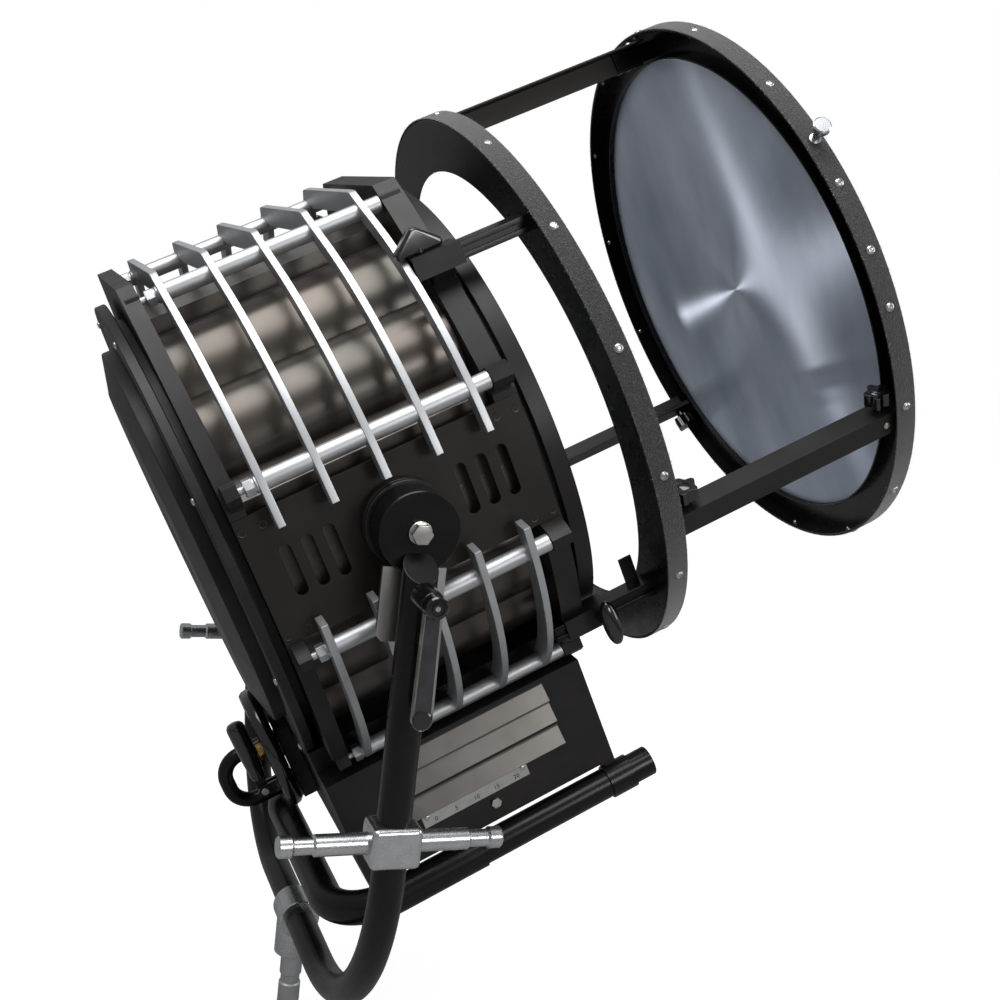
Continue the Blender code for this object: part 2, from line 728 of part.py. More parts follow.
def add_ears(frame):
    """Channels on the front frame, one round each adapter arm."""
    half_w = ARM_WIDTH / 2 + RUN
    half_h = ARM_HEIGHT / 2 + RUN
    room = place("ear_room", bore_mesh("ear_room", FLANGE_R + RUN, GAP, 0.06, FINE), parent=HEAD,
                 at=(FRONT_A, 0, 0), turn=ALONG_AXIS)
    for side, sign in SIDES.items():
        for level, (rear, front) in {1: UPPER_EAR, -1: LOWER_EAR}.items():
            t, u = sign * ARM_T, AXIS_DROP + level * ARM_U
            name = f"ear_{side}_{level}"
            low = (rear, t - half_w - EAR_WALL, u - half_h - EAR_WALL)
            high = (front, t + half_w + EAR_WALL, u + half_h + EAR_WALL)
            ear = place(name, box_mesh(name, low, high), parent=HEAD)
            gusset = plate_mesh("gusset", lug_outline((t, u)), FRONT_FRAME_T - 0.003)
            join(frame, cut(ear, room), place("gusset_" + name, gusset, parent=HEAD,
                                              at=((BAY_FRONT + FRONT_A) / 2, 0, 0), turn=ALONG_AXIS))
            low = (rear - 0.01, t - half_w, u - half_h)
            high = (front + 0.01, t + half_w, u + half_h)
            cut(frame, place("channel_" + name, box_mesh(name, low, high), parent=HEAD))
            screw = bore_mesh("screw", T_SCREW_R + RUN, 0, 0.03)
            if level > 0:
                cut(frame, place("screw_" + name, screw, parent=HEAD, at=(TOP_KNOB_A, t, u)))
            else:
                cut(frame, place("screw_" + name, screw, parent=HEAD, at=(LOW_KNOB_A, t, u),
                                 turn=OUTWARD[side]))


def make_frames(material):
    make_frame("rear_frame", REAR_A, BAY_REAR, REAR_HOLE_R, material)
    add_ears(make_frame("front_frame", BAY_FRONT, FRONT_A, FRONT_HOLE_R, material))


def make_side_plate(side, material):
    """Flat plate let into both frames, with upright vent slots and the pivot's bore."""
    outline = [(FRONT_A, SIDE_PLATE_LOW), (FRONT_A, SIDE_PLATE_HIGH), (REAR_A, SIDE_PLATE_HIGH),
               (REAR_A, SIDE_PLATE_LOW)]
    middle_u = (SIDE_PLATE_LOW + SIDE_PLATE_HIGH) / 2
    holes = [hole((0, AXIS_DROP), BOLT_R + RUN, 12)]
    for group in (-1, 1):
        for index in range(SLOTS_IN_GROUP):
            a = group * SLOT_GROUP_A + (index - (SLOTS_IN_GROUP - 1) / 2) * SLOT_PITCH
            holes.append(rounded_slot((a, middle_u), SLOT_WIDTH, SLOT_HEIGHT))
    name = side + "_side_plate"
    y = SIDES[side] * (SIDE_FACE - SIDE_PLATE_T / 2)
    place(name, plate_mesh(name, outline, SIDE_PLATE_T, holes), material, HEAD, (0, y, 0), NEAR_OUT)


def make_brake_disc(side, material):
    bore = BOLT_R + RUN
    low = SIDE_FACE + GAP
    profile = [(bore, DISC_FACE), (BRAKE_DISC_R, DISC_FACE), (BRAKE_DISC_R, low), (bore, low)]
    name = side + "_brake_disc"
    place(name, turned_mesh(name, profile, 24, closed=True), material, HEAD, (0, 0, AXIS_DROP),
          OUTWARD[side])


def scallop(start, end, steps=5):
    """One bulged panel of the housing between two notches, from the start to the end angle."""
    first = polar(NOTCH_R, start, BODY_U)
    last = polar(NOTCH_R, end, BODY_U)
    return bowed(first, last, SCALLOP_RISE, steps)


def make_upper_housing(material):
    """Upper half: flat top, two scallops and the side flat, the same on both sides."""
    top = [(HOUSING_TOP_HALF_WIDTH, HOUSING_TOP)]
    half = top + scallop(70, 45.5) + scallop(45.5, 23.5)[1:]
    half += [(HOUSING_HALF_WIDTH, BODY_U + 0.080), (HOUSING_HALF_WIDTH, BODY_U + GAP / 2)]
    section = list(reversed([(-t, u) for t, u in half])) + half
    mesh = sheet_mesh("upper_housing", section, BAY_REAR + GAP, BAY_FRONT - GAP, HOUSING_T)
    place("upper_housing", mesh, material, HEAD)


def make_lower_housing(material):
    """Lower half, with a slot in its floor for the carriage's post."""
    half = [(HOUSING_HALF_WIDTH, BODY_U - GAP / 2), (HOUSING_HALF_WIDTH, BODY_U - 0.076)]
    half += scallop(-18, -43.2) + scallop(-43.2, -65)[1:]
    half += [(half[-1][0], HOUSING_BOTTOM)]
    section = half + [(-t, u) for t, u in reversed(half)]
    mesh = sheet_mesh("lower_housing", section, BAY_REAR + GAP, BAY_FRONT - GAP, HOUSING_T)
    cut(place("lower_housing", mesh, material, HEAD), post_slot("floor_slot"))


def post_slot(name):
    """Room for the carriage's post over its whole travel, through housing floor and box top."""
    low = (POST_REAR + TRAVEL[0] - 0.004, WHEEL_T - POST_HALF_WIDTH - 0.002, HOUSING_BOTTOM - 0.03)
    high = (POST_FRONT + TRAVEL[1] + 0.004, WHEEL_T + POST_HALF_WIDTH + 0.002, HOUSING_BOTTOM + 0.01)
    return place(name, box_mesh(name, low, high), parent=HEAD)


# Cooling guard


def upper_rib_outline():
    """Flat top with bent corners, then an arc down each side to a square end."""
    outer = [(RIB_TOP_HALF_WIDTH - 0.012, RIB_TOP), (RIB_TOP_HALF_WIDTH - 0.003, RIB_TOP - 0.002)]
    outer += arc(RIB_OUTER_R, RIB_SHOULDER_DEG, RIB_END_DEG, 5, BODY_U)
    inner = arc(RIB_INNER_R, RIB_END_DEG, RIB_SHOULDER_DEG, 5, BODY_U)
    drop = RIB_OUTER_R - RIB_INNER_R + 0.0035
    inner.append((RIB_TOP_HALF_WIDTH - 0.021, RIB_TOP - drop))
    loop = outer + inner
    return loop + [(-t, u) for t, u in reversed(loop)]


def rib_places(shift=0.0):
    return [RIB_FIRST + shift + RIB_PITCH * index for index in range(RIB_COUNT)]


def make_upper_ribs(material):
    holes = [hole(side_point(side, spot), ROD_NECK_R + GAP, 6)
             for side in SIDES for spot in (TOP_ROD, UPPER_ROD)]
    mesh = plate_mesh("upper_rib", upper_rib_outline(), RIB_T, holes)
    for number, a in enumerate(rib_places(), 1):
        place(f"upper_rib_{number}", mesh, material, HEAD, (a, 0, 0), ALONG_AXIS)


def rod_profile(ribs):
    """Rod with a hexagon seat and stud at its rear end and a neck through each rib."""
    front = BAY_FRONT - GAP
    hex_rear = BAY_REAR + ROD_HEX_H
    profile = [(0, front), (ROD_R, front)]
    for a in reversed(ribs):
        shoulder_front = a + RIB_T / 2 + GAP
        shoulder_rear = a - RIB_T / 2 - GAP
        profile += [(ROD_R, shoulder_front), (ROD_NECK_R, shoulder_front),
                    (ROD_NECK_R, shoulder_rear), (ROD_R, shoulder_rear)]
    profile += [(ROD_R, hex_rear),
                (ROD_STUD_R, hex_rear), (ROD_STUD_R, BAY_REAR + GAP), (0, BAY_REAR + GAP)]
    return profile


def make_guard_rod(name, side, spot, material):
    t, u = side_point(side, spot)
    mesh = turned_mesh(name, rod_profile(rib_places()), 8)
    place(name, mesh, material, HEAD, (0, t, u), ALONG_AXIS)


def lower_rib_outline(sign):
    """A crescent from just above the lower rod to just past the bottom rod."""
    start, end = -8.5, -56.5
    outer = arc(LOWER_RIB_R, start, end, 5)
    inner = arc(LOWER_RIB_R - LOWER_RIB_DEPTH, end + 0.5, start, 4)
    return [(sign * t, u) for t, u in outer + inner]


def make_lower_guard(side, material):
    """Two rods and five crescent ribs, welded together."""
    name = side + "_lower_guard"
    front = BAY_FRONT - GAP
    rear = BAY_REAR + GAP
    stud_end = rear + ROD_HEX_H
    profile = [(0, front), (ROD_R, front), (ROD_R, stud_end), (ROD_STUD_R, stud_end), (ROD_STUD_R, rear),
               (0, rear)]
    rods = []
    for index, spot in enumerate((LOWER_ROD, BOTTOM_ROD)):
        t, u = side_point(side, spot)
        mesh = turned_mesh("guard_rod", profile, 8)
        if index == 0:
            guard = place(name, mesh, material, HEAD, (0, t, u), ALONG_AXIS)
        else:
            rods.append(place(name + "_rod", mesh, None, HEAD, (0, t, u), ALONG_AXIS))
    for number, a in enumerate(rib_places(LOWER_RIB_SHIFT), 1):
        mesh = plate_mesh("lower_rib", lower_rib_outline(SIDES[side]), RIB_T)
        join(guard, place(f"{name}_rib_{number}", mesh, None, HEAD, (a, 0, 0), ALONG_AXIS))
    join(guard, *rods)


# Rear ring, cover, flange and front lens


def make_rear_ring(material):
    top = REAR_A - GAP
    step = top - REAR_RING_STEP_T
    rear = step - REAR_RING_T
    profile = [(REAR_RING_BORE, top), (REAR_RING_STEP_R, top), (REAR_RING_STEP_R, step),
               (REAR_RING_R, step), (REAR_RING_R, rear), (REAR_RING_BORE, rear)]
    place("rear_ring", turned_mesh("rear_ring", profile, FINE, closed=True), material, HEAD,
          turn=ALONG_AXIS)
    return rear


def make_rear_cover(seat, material):
    """Shallow pressed cup over the rear opening."""
    front = seat - GAP
    rear = front - COVER_DEPTH
    shoulder = COVER_R - COVER_SLOPE
    bend = front - COVER_WALL
    outer = [(COVER_R, front), (COVER_R, bend), (shoulder, rear), (0, rear)]
    inner = [(0, rear + COVER_T), (shoulder - 0.001, rear + COVER_T),
             (COVER_R - COVER_T, bend + 0.0015), (COVER_R - COVER_T, front)]
    place("rear_cover", turned_mesh("rear_cover", outer + inner, FINE, closed=True), material, HEAD,
          turn=ALONG_AXIS)


def make_flange_ring(material):
    rear = FRONT_A + GAP
    front = rear + FLANGE_LENGTH
    lip = front - FLANGE_LIP_T
    groove = rear + FLANGE_GROOVE_WIDTH
    profile = [(FLANGE_LIP_R, front), (FLANGE_R, front), (FLANGE_R, groove),
               (FLANGE_GROOVE_R, groove), (FLANGE_GROOVE_R, rear), (FLANGE_BORE, rear),
               (FLANGE_BORE, lip), (FLANGE_LIP_R, lip)]
    place("flange_ring", turned_mesh("flange_ring", profile, FINE, closed=True), material, HEAD,
          turn=ALONG_AXIS)
    return lip


def make_front_lens(seat, material):
    """Flat at the rear, domed at the front, held behind the flange's lip."""
    front = seat - GAP
    rear = front - LENS_T
    radius = FLANGE_BORE - RUN - GAP
    reach = FLANGE_LIP_R - RUN
    curve = (reach * reach + LENS_DOME * LENS_DOME) / (2 * LENS_DOME)
    dome = []
    for step in range(5):
        r = reach * step / 4
        dome.append((r, front + LENS_DOME - curve + math.sqrt(curve * curve - r * r)))
    profile = dome + [(radius, front), (radius, rear), (0, rear)]
    place("front_lens", turned_mesh("front_lens", profile, FINE), material, HEAD, turn=ALONG_AXIS)


# Base, skid and rear controls


def skid_line():
    """U-shaped line of the skid tube and its radius at each point, near front end to far one."""
    step = 0.0001
    bend_a = SKID_REAR + SKID_BEND_R
    bend_t = BOX_HALF_WIDTH - SKID_BEND_R
    runs = [(SKID_FRONT, SKID_R), (FRONT_SLEEVE[1], SKID_R), (FRONT_SLEEVE[1] - step, FRONT_SLEEVE_R),
            (FRONT_SLEEVE[0], FRONT_SLEEVE_R), (FRONT_SLEEVE[0] - step, SKID_R), (SLEEVE_FROM, SKID_R),
            (SLEEVE_FROM - step, BEND_SLEEVE_R)]
    half = [((a, -BOX_HALF_WIDTH, SKID_U), radius) for a, radius in runs]
    for x, y in arc(SKID_BEND_R, 270, 180, 5):
        half.append(((bend_a + x, -bend_t + y, SKID_U), BEND_SLEEVE_R))
    return half + [((a, -t, u), radius) for (a, t, u), radius in reversed(half)]


def make_skid(material):
    """Round tube with a thicker sleeve round the rear bend and one at each front leg."""
    line = skid_line()
    points = [point for point, radius in line]
    scales = [radius / SKID_R for point, radius in line]
    place("skid_tube", tube_mesh("skid_tube", points, SKID_R, scales), material, HEAD)


def louvre_mesh(name, top, sign):
    """A pressed blade that leans out from the panel, closed at both ends."""
    inner = BOX_HALF_WIDTH - BOX_WALL
    section = [(inner, top + 0.003), (BOX_HALF_WIDTH, top + 0.003), (BOX_HALF_WIDTH + 0.001, top),
               (BOX_HALF_WIDTH + LOUVRE_STANDOFF, top - LOUVRE_DROP),
               (BOX_HALF_WIDTH + LOUVRE_STANDOFF - 0.002, top - LOUVRE_DROP),
               (BOX_HALF_WIDTH - 0.001, top - 0.004), (inner, top - 0.004)]
    return plate_mesh(name, [(sign * t, u) for t, u in section], LOUVRE_FRONT - LOUVRE_REAR)


def box_section(bottom, inset=0.0):
    """Section of the base: a neck under the frames, stepped out past the bottom rods."""
    neck = BOX_NECK_HALF_WIDTH - inset
    wide = BOX_HALF_WIDTH - inset
    half = [(neck, HEAD_BOTTOM - RUN - inset), (neck, BOX_STEP - inset), (wide, BOX_STEP - inset),
            (wide, bottom + inset)]
    return mirrored(half)


def base_piece(name, rear, front, bottom, inset=0.0, material=None):
    mesh = plate_mesh(name, box_section(bottom, inset), front - rear)
    return place(name, mesh, material, HEAD, ((rear + front) / 2, 0, 0), ALONG_AXIS)


def base_box_shell(material):
    base = base_piece("base_box", BOX_REAR, BOX_FRONT, BOX_BOTTOM, material=material)
    rear = BOX_REAR - REAR_LEG_T
    front = BOX_FRONT + FRONT_LEG_T
    join(base, base_piece("rear_leg", rear, BOX_REAR + 0.001, LEG_BOTTOM),
         base_piece("front_leg", BOX_FRONT - 0.001, front, LEG_BOTTOM))
    cut(base, base_piece("box_room", BOX_REAR, BOX_FRONT, BOX_BOTTOM, BOX_WALL))
    return base


def ring_room():
    """Room for the rear ring in the base and in the bearing block."""
    rear = REAR_A - GAP - REAR_RING_STEP_T - REAR_RING_T - GAP
    step = REAR_A - GAP - REAR_RING_STEP_T + GAP
    profile = [(0, REAR_A), (REAR_RING_STEP_R + RUN, REAR_A), (REAR_RING_STEP_R + RUN, step),
               (REAR_RING_R + RUN, step), (REAR_RING_R + RUN, rear), (0, rear)]
    return place("ring_room", turned_mesh("ring_room", profile, FINE), parent=HEAD, turn=ALONG_AXIS)


def make_base_box(room, material):
    """Box with both leg plates, louvres in the side panels and room for ring, skid and shaft."""
    base = base_box_shell(material)
    for side, sign in SIDES.items():
        for number, top in enumerate(LOUVRE_TOPS):
            middle = (LOUVRE_FRONT + LOUVRE_REAR) / 2
            reach = (LOUVRE_FRONT - LOUVRE_REAR) / 2
            inner = sign * (BOX_HALF_WIDTH - BOX_WALL - 0.01)
            outer = sign * (BOX_HALF_WIDTH + 0.01)
            low = (middle - reach + 0.003, min(inner, outer), top - LOUVRE_DROP + 0.004)
            high = (middle + reach - 0.003, max(inner, outer), top - 0.002)
            cut(base, place(f"slot_{side}_{number}", box_mesh("slot", low, high), parent=HEAD))
            blade = louvre_mesh("blade", top, sign)
            join(base, place(f"blade_{side}_{number}", blade, None, HEAD, (middle, 0, 0), ALONG_AXIS))
    cut(base, room)
    cut(base, post_slot("top_slot"))
    saddle = tube_mesh("saddle", [point for point, radius in skid_line()], FRONT_SLEEVE_R + GAP)
    cut(base, place("saddle", saddle, parent=HEAD))
    bore = bore_mesh("shaft_room", SHAFT_R + RUN, BOX_REAR - 0.03, BOX_FRONT + 0.008)
    cut(base, place("shaft_room", bore, parent=HEAD, at=(0, WHEEL_T, WHEEL_U), turn=ALONG_AXIS))


def make_rear_handle(material):
    """D-shaped grab handle on the rear leg plate."""
    seat = BOX_REAR - REAR_LEG_T - GAP
    back = seat - HANDLE_REACH
    bend = HANDLE_BEND_R
    line = [(seat, HANDLE_TOP)]
    for x, y in arc(bend, 90, 180, 3):
        line.append((back + bend + x, HANDLE_TOP - bend + y))
    for x, y in arc(bend, 180, 270, 3):
        line.append((back + bend + x, HANDLE_LOW + bend + y))
    line.append((seat, HANDLE_LOW))
    points = [(a, HANDLE_T, u) for a, u in line]
    place("rear_handle", tube_mesh("rear_handle", points, HANDLE_R), material, HEAD)


def make_focus_gearbox(room, material):
    """Bearing block for the focus shaft, between the leg plate and the hand wheel."""
    front = BOX_REAR - REAR_LEG_T - GAP
    rear = WHEEL_REAR + WHEEL_WIDTH + RUN
    w = BEARING_HALF_WIDTH
    crown = bowed((-w, BEARING_TOP - 0.012), (w, BEARING_TOP - 0.012), 0.012, 6)
    outline = crown + [(w, BEARING_BOTTOM), (-w, BEARING_BOTTOM)]
    mesh = plate_mesh("focus_gearbox", outline, front - rear, [hole((0, WHEEL_U), SHAFT_R + RUN)])
    block = place("focus_gearbox", mesh, material, HEAD, ((front + rear) / 2, WHEEL_T, 0), ALONG_AXIS)
    cut(block, room)


def make_focus_shaft(material):
    """Lead screw from the hand wheel through the base, with the wheel's nut on its end."""
    front = BOX_FRONT + 0.006
    nut_front = WHEEL_REAR - GAP
    nut_rear = nut_front - SHAFT_NUT_T
    profile = [(0, front), (SHAFT_R - 0.001, front), (SHAFT_R, front - 0.001), (SHAFT_R, nut_rear),
               (0, nut_rear)]
    at = (0, WHEEL_T, WHEEL_U)
    shaft = place("focus_shaft", turned_mesh("focus_shaft", profile, SMALL), material, HEAD, at, ALONG_AXIS)
    nut = rod_mesh("nut", SHAFT_NUT_R, nut_rear, nut_front, 6)
    join(shaft, place("shaft_nut", nut, parent=HEAD, at=at, turn=ALONG_AXIS))


def make_hand_wheel(material):
    """Dished wheel with the two cheeks and the pin that carry its fold-away grip."""
    rear = WHEEL_REAR
    front = rear + WHEEL_WIDTH
    bore = SHAFT_R + GAP
    rim = WHEEL_R - WHEEL_RIM
    hub = WHEEL_HUB_R
    web_rear = rear + 0.007
    web_front = web_rear + 0.006
    profile = [(bore, front), (hub, front), (hub, web_front), (rim, web_front), (rim, front - 0.002),
               (WHEEL_R - 0.003, front - 0.002), (WHEEL_R, (rear + front) / 2), (WHEEL_R - 0.003, rear),
               (rim, rear), (rim, web_rear), (hub, web_rear), (hub, rear), (bore, rear)]
    at = (0, WHEEL_T, WHEEL_U)
    wheel = place("hand_wheel", turned_mesh("hand_wheel", profile, 24, closed=True), material, HEAD, at,
                  ALONG_AXIS)
    pivot_a = grip_axis_a()
    pivot_u = WHEEL_U - GRIP_PIVOT_DROP
    tongue = GRIP_TONGUE_T / 2 + RUN
    foot = web_rear + 0.001 - pivot_a
    outline = [(foot, CHEEK_R), *arc(CHEEK_R, 90, 270, 4), (foot, -CHEEK_R)]
    for sign in (-1, 1):
        mesh = plate_mesh("cheek", outline, CHEEK_T)
        spot = (pivot_a, WHEEL_T + sign * (tongue + CHEEK_T / 2), pivot_u)
        join(wheel, place(f"cheek_{sign}", mesh, parent=HEAD, at=spot, turn=NEAR_OUT))
    pin = rod_mesh("pin", GRIP_PIN_R, -tongue - 0.003, tongue + 0.003, SMALL)
    join(wheel, place("grip_pin", pin, parent=HEAD, at=(pivot_a, WHEEL_T, pivot_u), turn=NEAR_OUT))


def grip_axis_a():
    """Place of the folded grip's middle line along the optical axis, clear of the shaft's nut."""
    return WHEEL_REAR - GAP - SHAFT_NUT_T - RUN - GRIP_R


def make_crank_grip(material):
    """Turned handle folded across the wheel, hinged at its lower end by a flat tongue."""
    top = GRIP_NECK + GRIP_LENGTH
    r = GRIP_R
    profile = [(0, top), (0.6 * r, top - 0.0005), (0.9 * r, top - 0.003), (r, top - 0.007),
               (0.92 * r, GRIP_NECK + 0.03), (0.8 * r, GRIP_NECK + 0.004), (0.7 * r, GRIP_NECK),
               (0, GRIP_NECK)]
    at = (grip_axis_a(), WHEEL_T, WHEEL_U - GRIP_PIVOT_DROP)
    grip = place("crank_grip", turned_mesh("crank_grip", profile, 12), material, HEAD, at)
    eye = GRIP_EYE_R
    outline = [(eye, GRIP_NECK + 0.002), (-eye, GRIP_NECK + 0.002)] + arc(eye, 180, 360, 6)
    tongue = plate_mesh("tongue", outline, GRIP_TONGUE_T, [hole((0, 0), GRIP_PIN_R + RUN)])
    join(grip, place("grip_tongue", tongue, parent=HEAD, at=at, turn=NEAR_OUT))


# Inside the head


def make_carriage_track(material):
    """Two round rails between end blocks that stand on the housing's floor."""
    floor = HOUSING_BOTTOM + HOUSING_T + GAP
    top = TRACK_U + 0.010
    w = CARRIAGE_HALF_WIDTH
    rear = BAY_REAR + RUN
    front = BAY_FRONT - RUN
    t = TRACK_BLOCK_T
    track = place("carriage_track", box_mesh("track", (rear, -w, floor), (rear + t, w, top)), material, HEAD)
    join(track, place("track_front", box_mesh("track_front", (front - t, -w, floor), (front, w, top)),
                      parent=HEAD))
    for side, sign in SIDES.items():
        rail = rod_mesh("rail", TRACK_R, rear + t / 2, front - t / 2, SMALL)
        join(track, place("track_rail_" + side, rail, parent=HEAD, at=(0, sign * TRACK_T, TRACK_U),
                          turn=ALONG_AXIS))


def make_lamp_carriage(material):
    """Slide block with its post down to the lead screw, the lamp holder and the reflector's post."""
    w = CARRIAGE_HALF_WIDTH
    low = TRACK_U - TRACK_R - 0.003
    block = box_mesh("carriage", (CARRIAGE_REAR, -w, low), (CARRIAGE_FRONT, w, CARRIAGE_TOP))
    carriage = place("lamp_carriage", block, material, HEAD)
    for side, sign in SIDES.items():
        room = bore_mesh("rail_room", TRACK_R + RUN, CARRIAGE_REAR - 0.01, CARRIAGE_FRONT + 0.01)
        cut(carriage, place("rail_room_" + side, room, parent=HEAD, at=(0, sign * TRACK_T, TRACK_U),
                            turn=ALONG_AXIS))
    p = POST_HALF_WIDTH
    post = box_mesh("post", (POST_REAR, WHEEL_T - p, WHEEL_U - p), (POST_FRONT, WHEEL_T + p, low + 0.002))
    holder = rod_mesh("holder", HOLDER_R, CARRIAGE_TOP - 0.002, LAMP_BASE_U - GAP, MEDIUM)
    back = ARC_A - REFLECTOR_R - REFLECTOR_T - GAP - REFLECTOR_POST_R
    r = REFLECTOR_POST_R
    arm = box_mesh("arm", (back - r, -0.010, CARRIAGE_TOP - 0.002), (CARRIAGE_REAR + 0.02, 0.010,
                                                                      CARRIAGE_TOP + 0.008))
    upright = rod_mesh("upright", r, CARRIAGE_TOP, 0.014, SMALL)
    join(carriage, place("post", post, parent=HEAD),
         place("holder", holder, parent=HEAD, at=(ARC_A, 0, 0)),
         place("reflector_arm", arm, parent=HEAD),
         place("reflector_post", upright, parent=HEAD, at=(back, 0, 0)))
    bore = bore_mesh("nut_bore", SHAFT_R + RUN, POST_REAR - 0.01, POST_FRONT + 0.01)
    cut(carriage, place("nut_bore", bore, parent=HEAD, at=(0, WHEEL_T, WHEEL_U), turn=ALONG_AXIS))


def make_lamp(material):
    """Single-ended discharge lamp standing upright in its holder."""
    neck = LAMP_BASE_U + 0.035
    b = BULB_R
    profile = [(0, 0.086), (0.35 * b, 0.083), (0.76 * b, 0.066), (b, 0.032), (b, -0.030), (0.76 * b, -0.060),
               (0.47 * b, neck + 0.006), (LAMP_BASE_R, neck), (LAMP_BASE_R, LAMP_BASE_U), (0, LAMP_BASE_U)]
    place("lamp", turned_mesh("lamp", profile, 12), material, HEAD, (ARC_A, 0, 0))


def make_reflector(material):
    """Spherical mirror behind the lamp."""
    outer_r = REFLECTOR_R + REFLECTOR_T
    steps = 5
    outer = [(outer_r * math.sin(math.radians(REFLECTOR_DEG * s / steps)),
              -outer_r * math.cos(math.radians(REFLECTOR_DEG * s / steps))) for s in range(steps + 1)]
    inner = [(r * REFLECTOR_R / outer_r, z * REFLECTOR_R / outer_r) for r, z in outer]
    profile = inner + list(reversed(outer))
    place("reflector", turned_mesh("reflector", profile, 16), material, HEAD, (ARC_A, 0, 0), ALONG_AXIS)


def make_ignitor(material):
    """High-voltage ignitor box on the floor of the base, with fins on its lid."""
    a, t = IGNITOR_PLACE
    length, width, height = IGNITOR_SIZE
    floor = BOX_BOTTOM + BOX_WALL + GAP
    low = (a - length / 2, t - width / 2, floor)
    high = (a + length / 2, t + width / 2, floor + height)
    ignitor = place("ignitor", box_mesh("ignitor", low, high), material, HEAD)
    for index in range(4):
        fin_t = t + (index - 1.5) * width / 4.5
        fin = box_mesh("fin", (low[0] + 0.004, fin_t - 0.002, high[2] - 0.001),
                       (high[0] - 0.004, fin_t + 0.002, high[2] + 0.008))
        join(ignitor, place(f"ignitor_fin_{index}", fin, parent=HEAD))


# Lens adapter


def arm_mesh(name, t, u):
    """Bar of one adapter arm."""
    low = (ARM_REAR, t - ARM_WIDTH / 2, u - ARM_HEIGHT / 2)
    high = (ADAPTER_REAR + 0.001, t + ARM_WIDTH / 2, u + ARM_HEIGHT / 2)
    return box_mesh(name, low, high)


def add_arms(ring):
    width, depth = ARM_SLOT
    for side, sign in SIDES.items():
        for level in (1, -1):
            t, u = sign * ARM_T, AXIS_DROP + level * ARM_U
            name = f"arm_{side}_{level}"
            arm = place(name, arm_mesh(name, t, u), parent=HEAD)
            face = t + sign * ARM_WIDTH / 2
            inner = face - sign * depth
            outer = face + sign * 0.01
            low = (ARM_REAR + 0.012, min(inner, outer), u - width / 2)
            high = (ADAPTER_REAR - 0.030, max(inner, outer), u + width / 2)
            cut(arm, place("groove_" + name, box_mesh(name, low, high), parent=HEAD))
            join(ring, arm)


def rail_point(degrees, radius, side):
    """A (t, u) point at this radius on a rail's flange plane, moved sideways from it."""
    angle = math.radians(degrees)
    out = Vector((math.cos(angle), math.sin(angle)))
    across = Vector((-math.sin(angle), math.cos(angle)))
    return tuple(out * radius + across * side)


def add_tabs(ring, name, low, high):
    """Tabs that stand on a ring inside each rail's corner; the star knobs' screws end in them."""
    side = RAIL_T + GAP
    top = RAIL_RIDGE_R - RAIL_T - GAP
    for rail, degrees in RAIL_DEGS.items():
        outline = [rail_point(degrees, top - TAB_WIDTH, side), rail_point(degrees, top, side),
                   rail_point(degrees, top, side + TAB_T),
                   rail_point(degrees, top - TAB_WIDTH, side + TAB_T)]
        mesh = plate_mesh("tab", outline, high - low)
        join(ring, place(f"{name}_tab_{rail}", mesh, parent=HEAD, at=((low + high) / 2, 0, 0),
                         turn=ALONG_AXIS))


def star_places():
    return {"rear": STAR_REAR_A, "front": LENS_RING_FRONT - STAR_FRONT_INSET}


def cut_screw_room(obj, rail, degrees, radius):
    """Holes for a rail's two star knob screws."""
    for end, a in star_places().items():
        t, u = rail_point(degrees, STAR_RADIUS, 0.0)
        cutter = bore_mesh("screw_room", radius, -0.010, 0.010)
        cut(obj, place(f"screw_{obj.name}_{rail}_{end}", cutter, parent=HEAD, at=(a, t, u),
                       turn=star_turn(degrees)))


def star_turn(degrees):
    """Turns local Z to the clockwise side of a rail, where the star knobs stand."""
    angle = math.radians(degrees)
    clockwise = Vector((0, math.sin(angle), -math.cos(angle)))
    return clockwise.to_track_quat("Z", "X").to_euler()


def make_middle_ring(material):
    """Rolled ring with a web, four arms back to the head, tabs for the rails and a hook."""
    web_front = ADAPTER_REAR + WEB_T
    inner = RING_R - RING_T
    profile = [(inner, RING_FRONT), (RING_R, RING_FRONT), (RING_R, ADAPTER_REAR),
               (WEB_HOLE_R, ADAPTER_REAR), (WEB_HOLE_R, web_front), (inner, web_front)]
    ring = place("middle_ring", turned_mesh("middle_ring", profile, FINE, closed=True), material, HEAD,
                 turn=ALONG_AXIS)
    add_arms(ring)
    add_tabs(ring, "middle", web_front - 0.001, web_front + TAB_LENGTH)
    low = (HOOK_A[0], -ARM_T - HOOK_T / 2, AXIS_DROP - ARM_U)
    hook = box_mesh("hook", low, (HOOK_A[1], HOOK_T / 2 - ARM_T, HOOK_TOP))
    join(ring, place("hook", hook, parent=HEAD))
    for rail, degrees in RAIL_DEGS.items():
        cut_screw_room(ring, rail, degrees, STAR_SCREW_R + RUN)


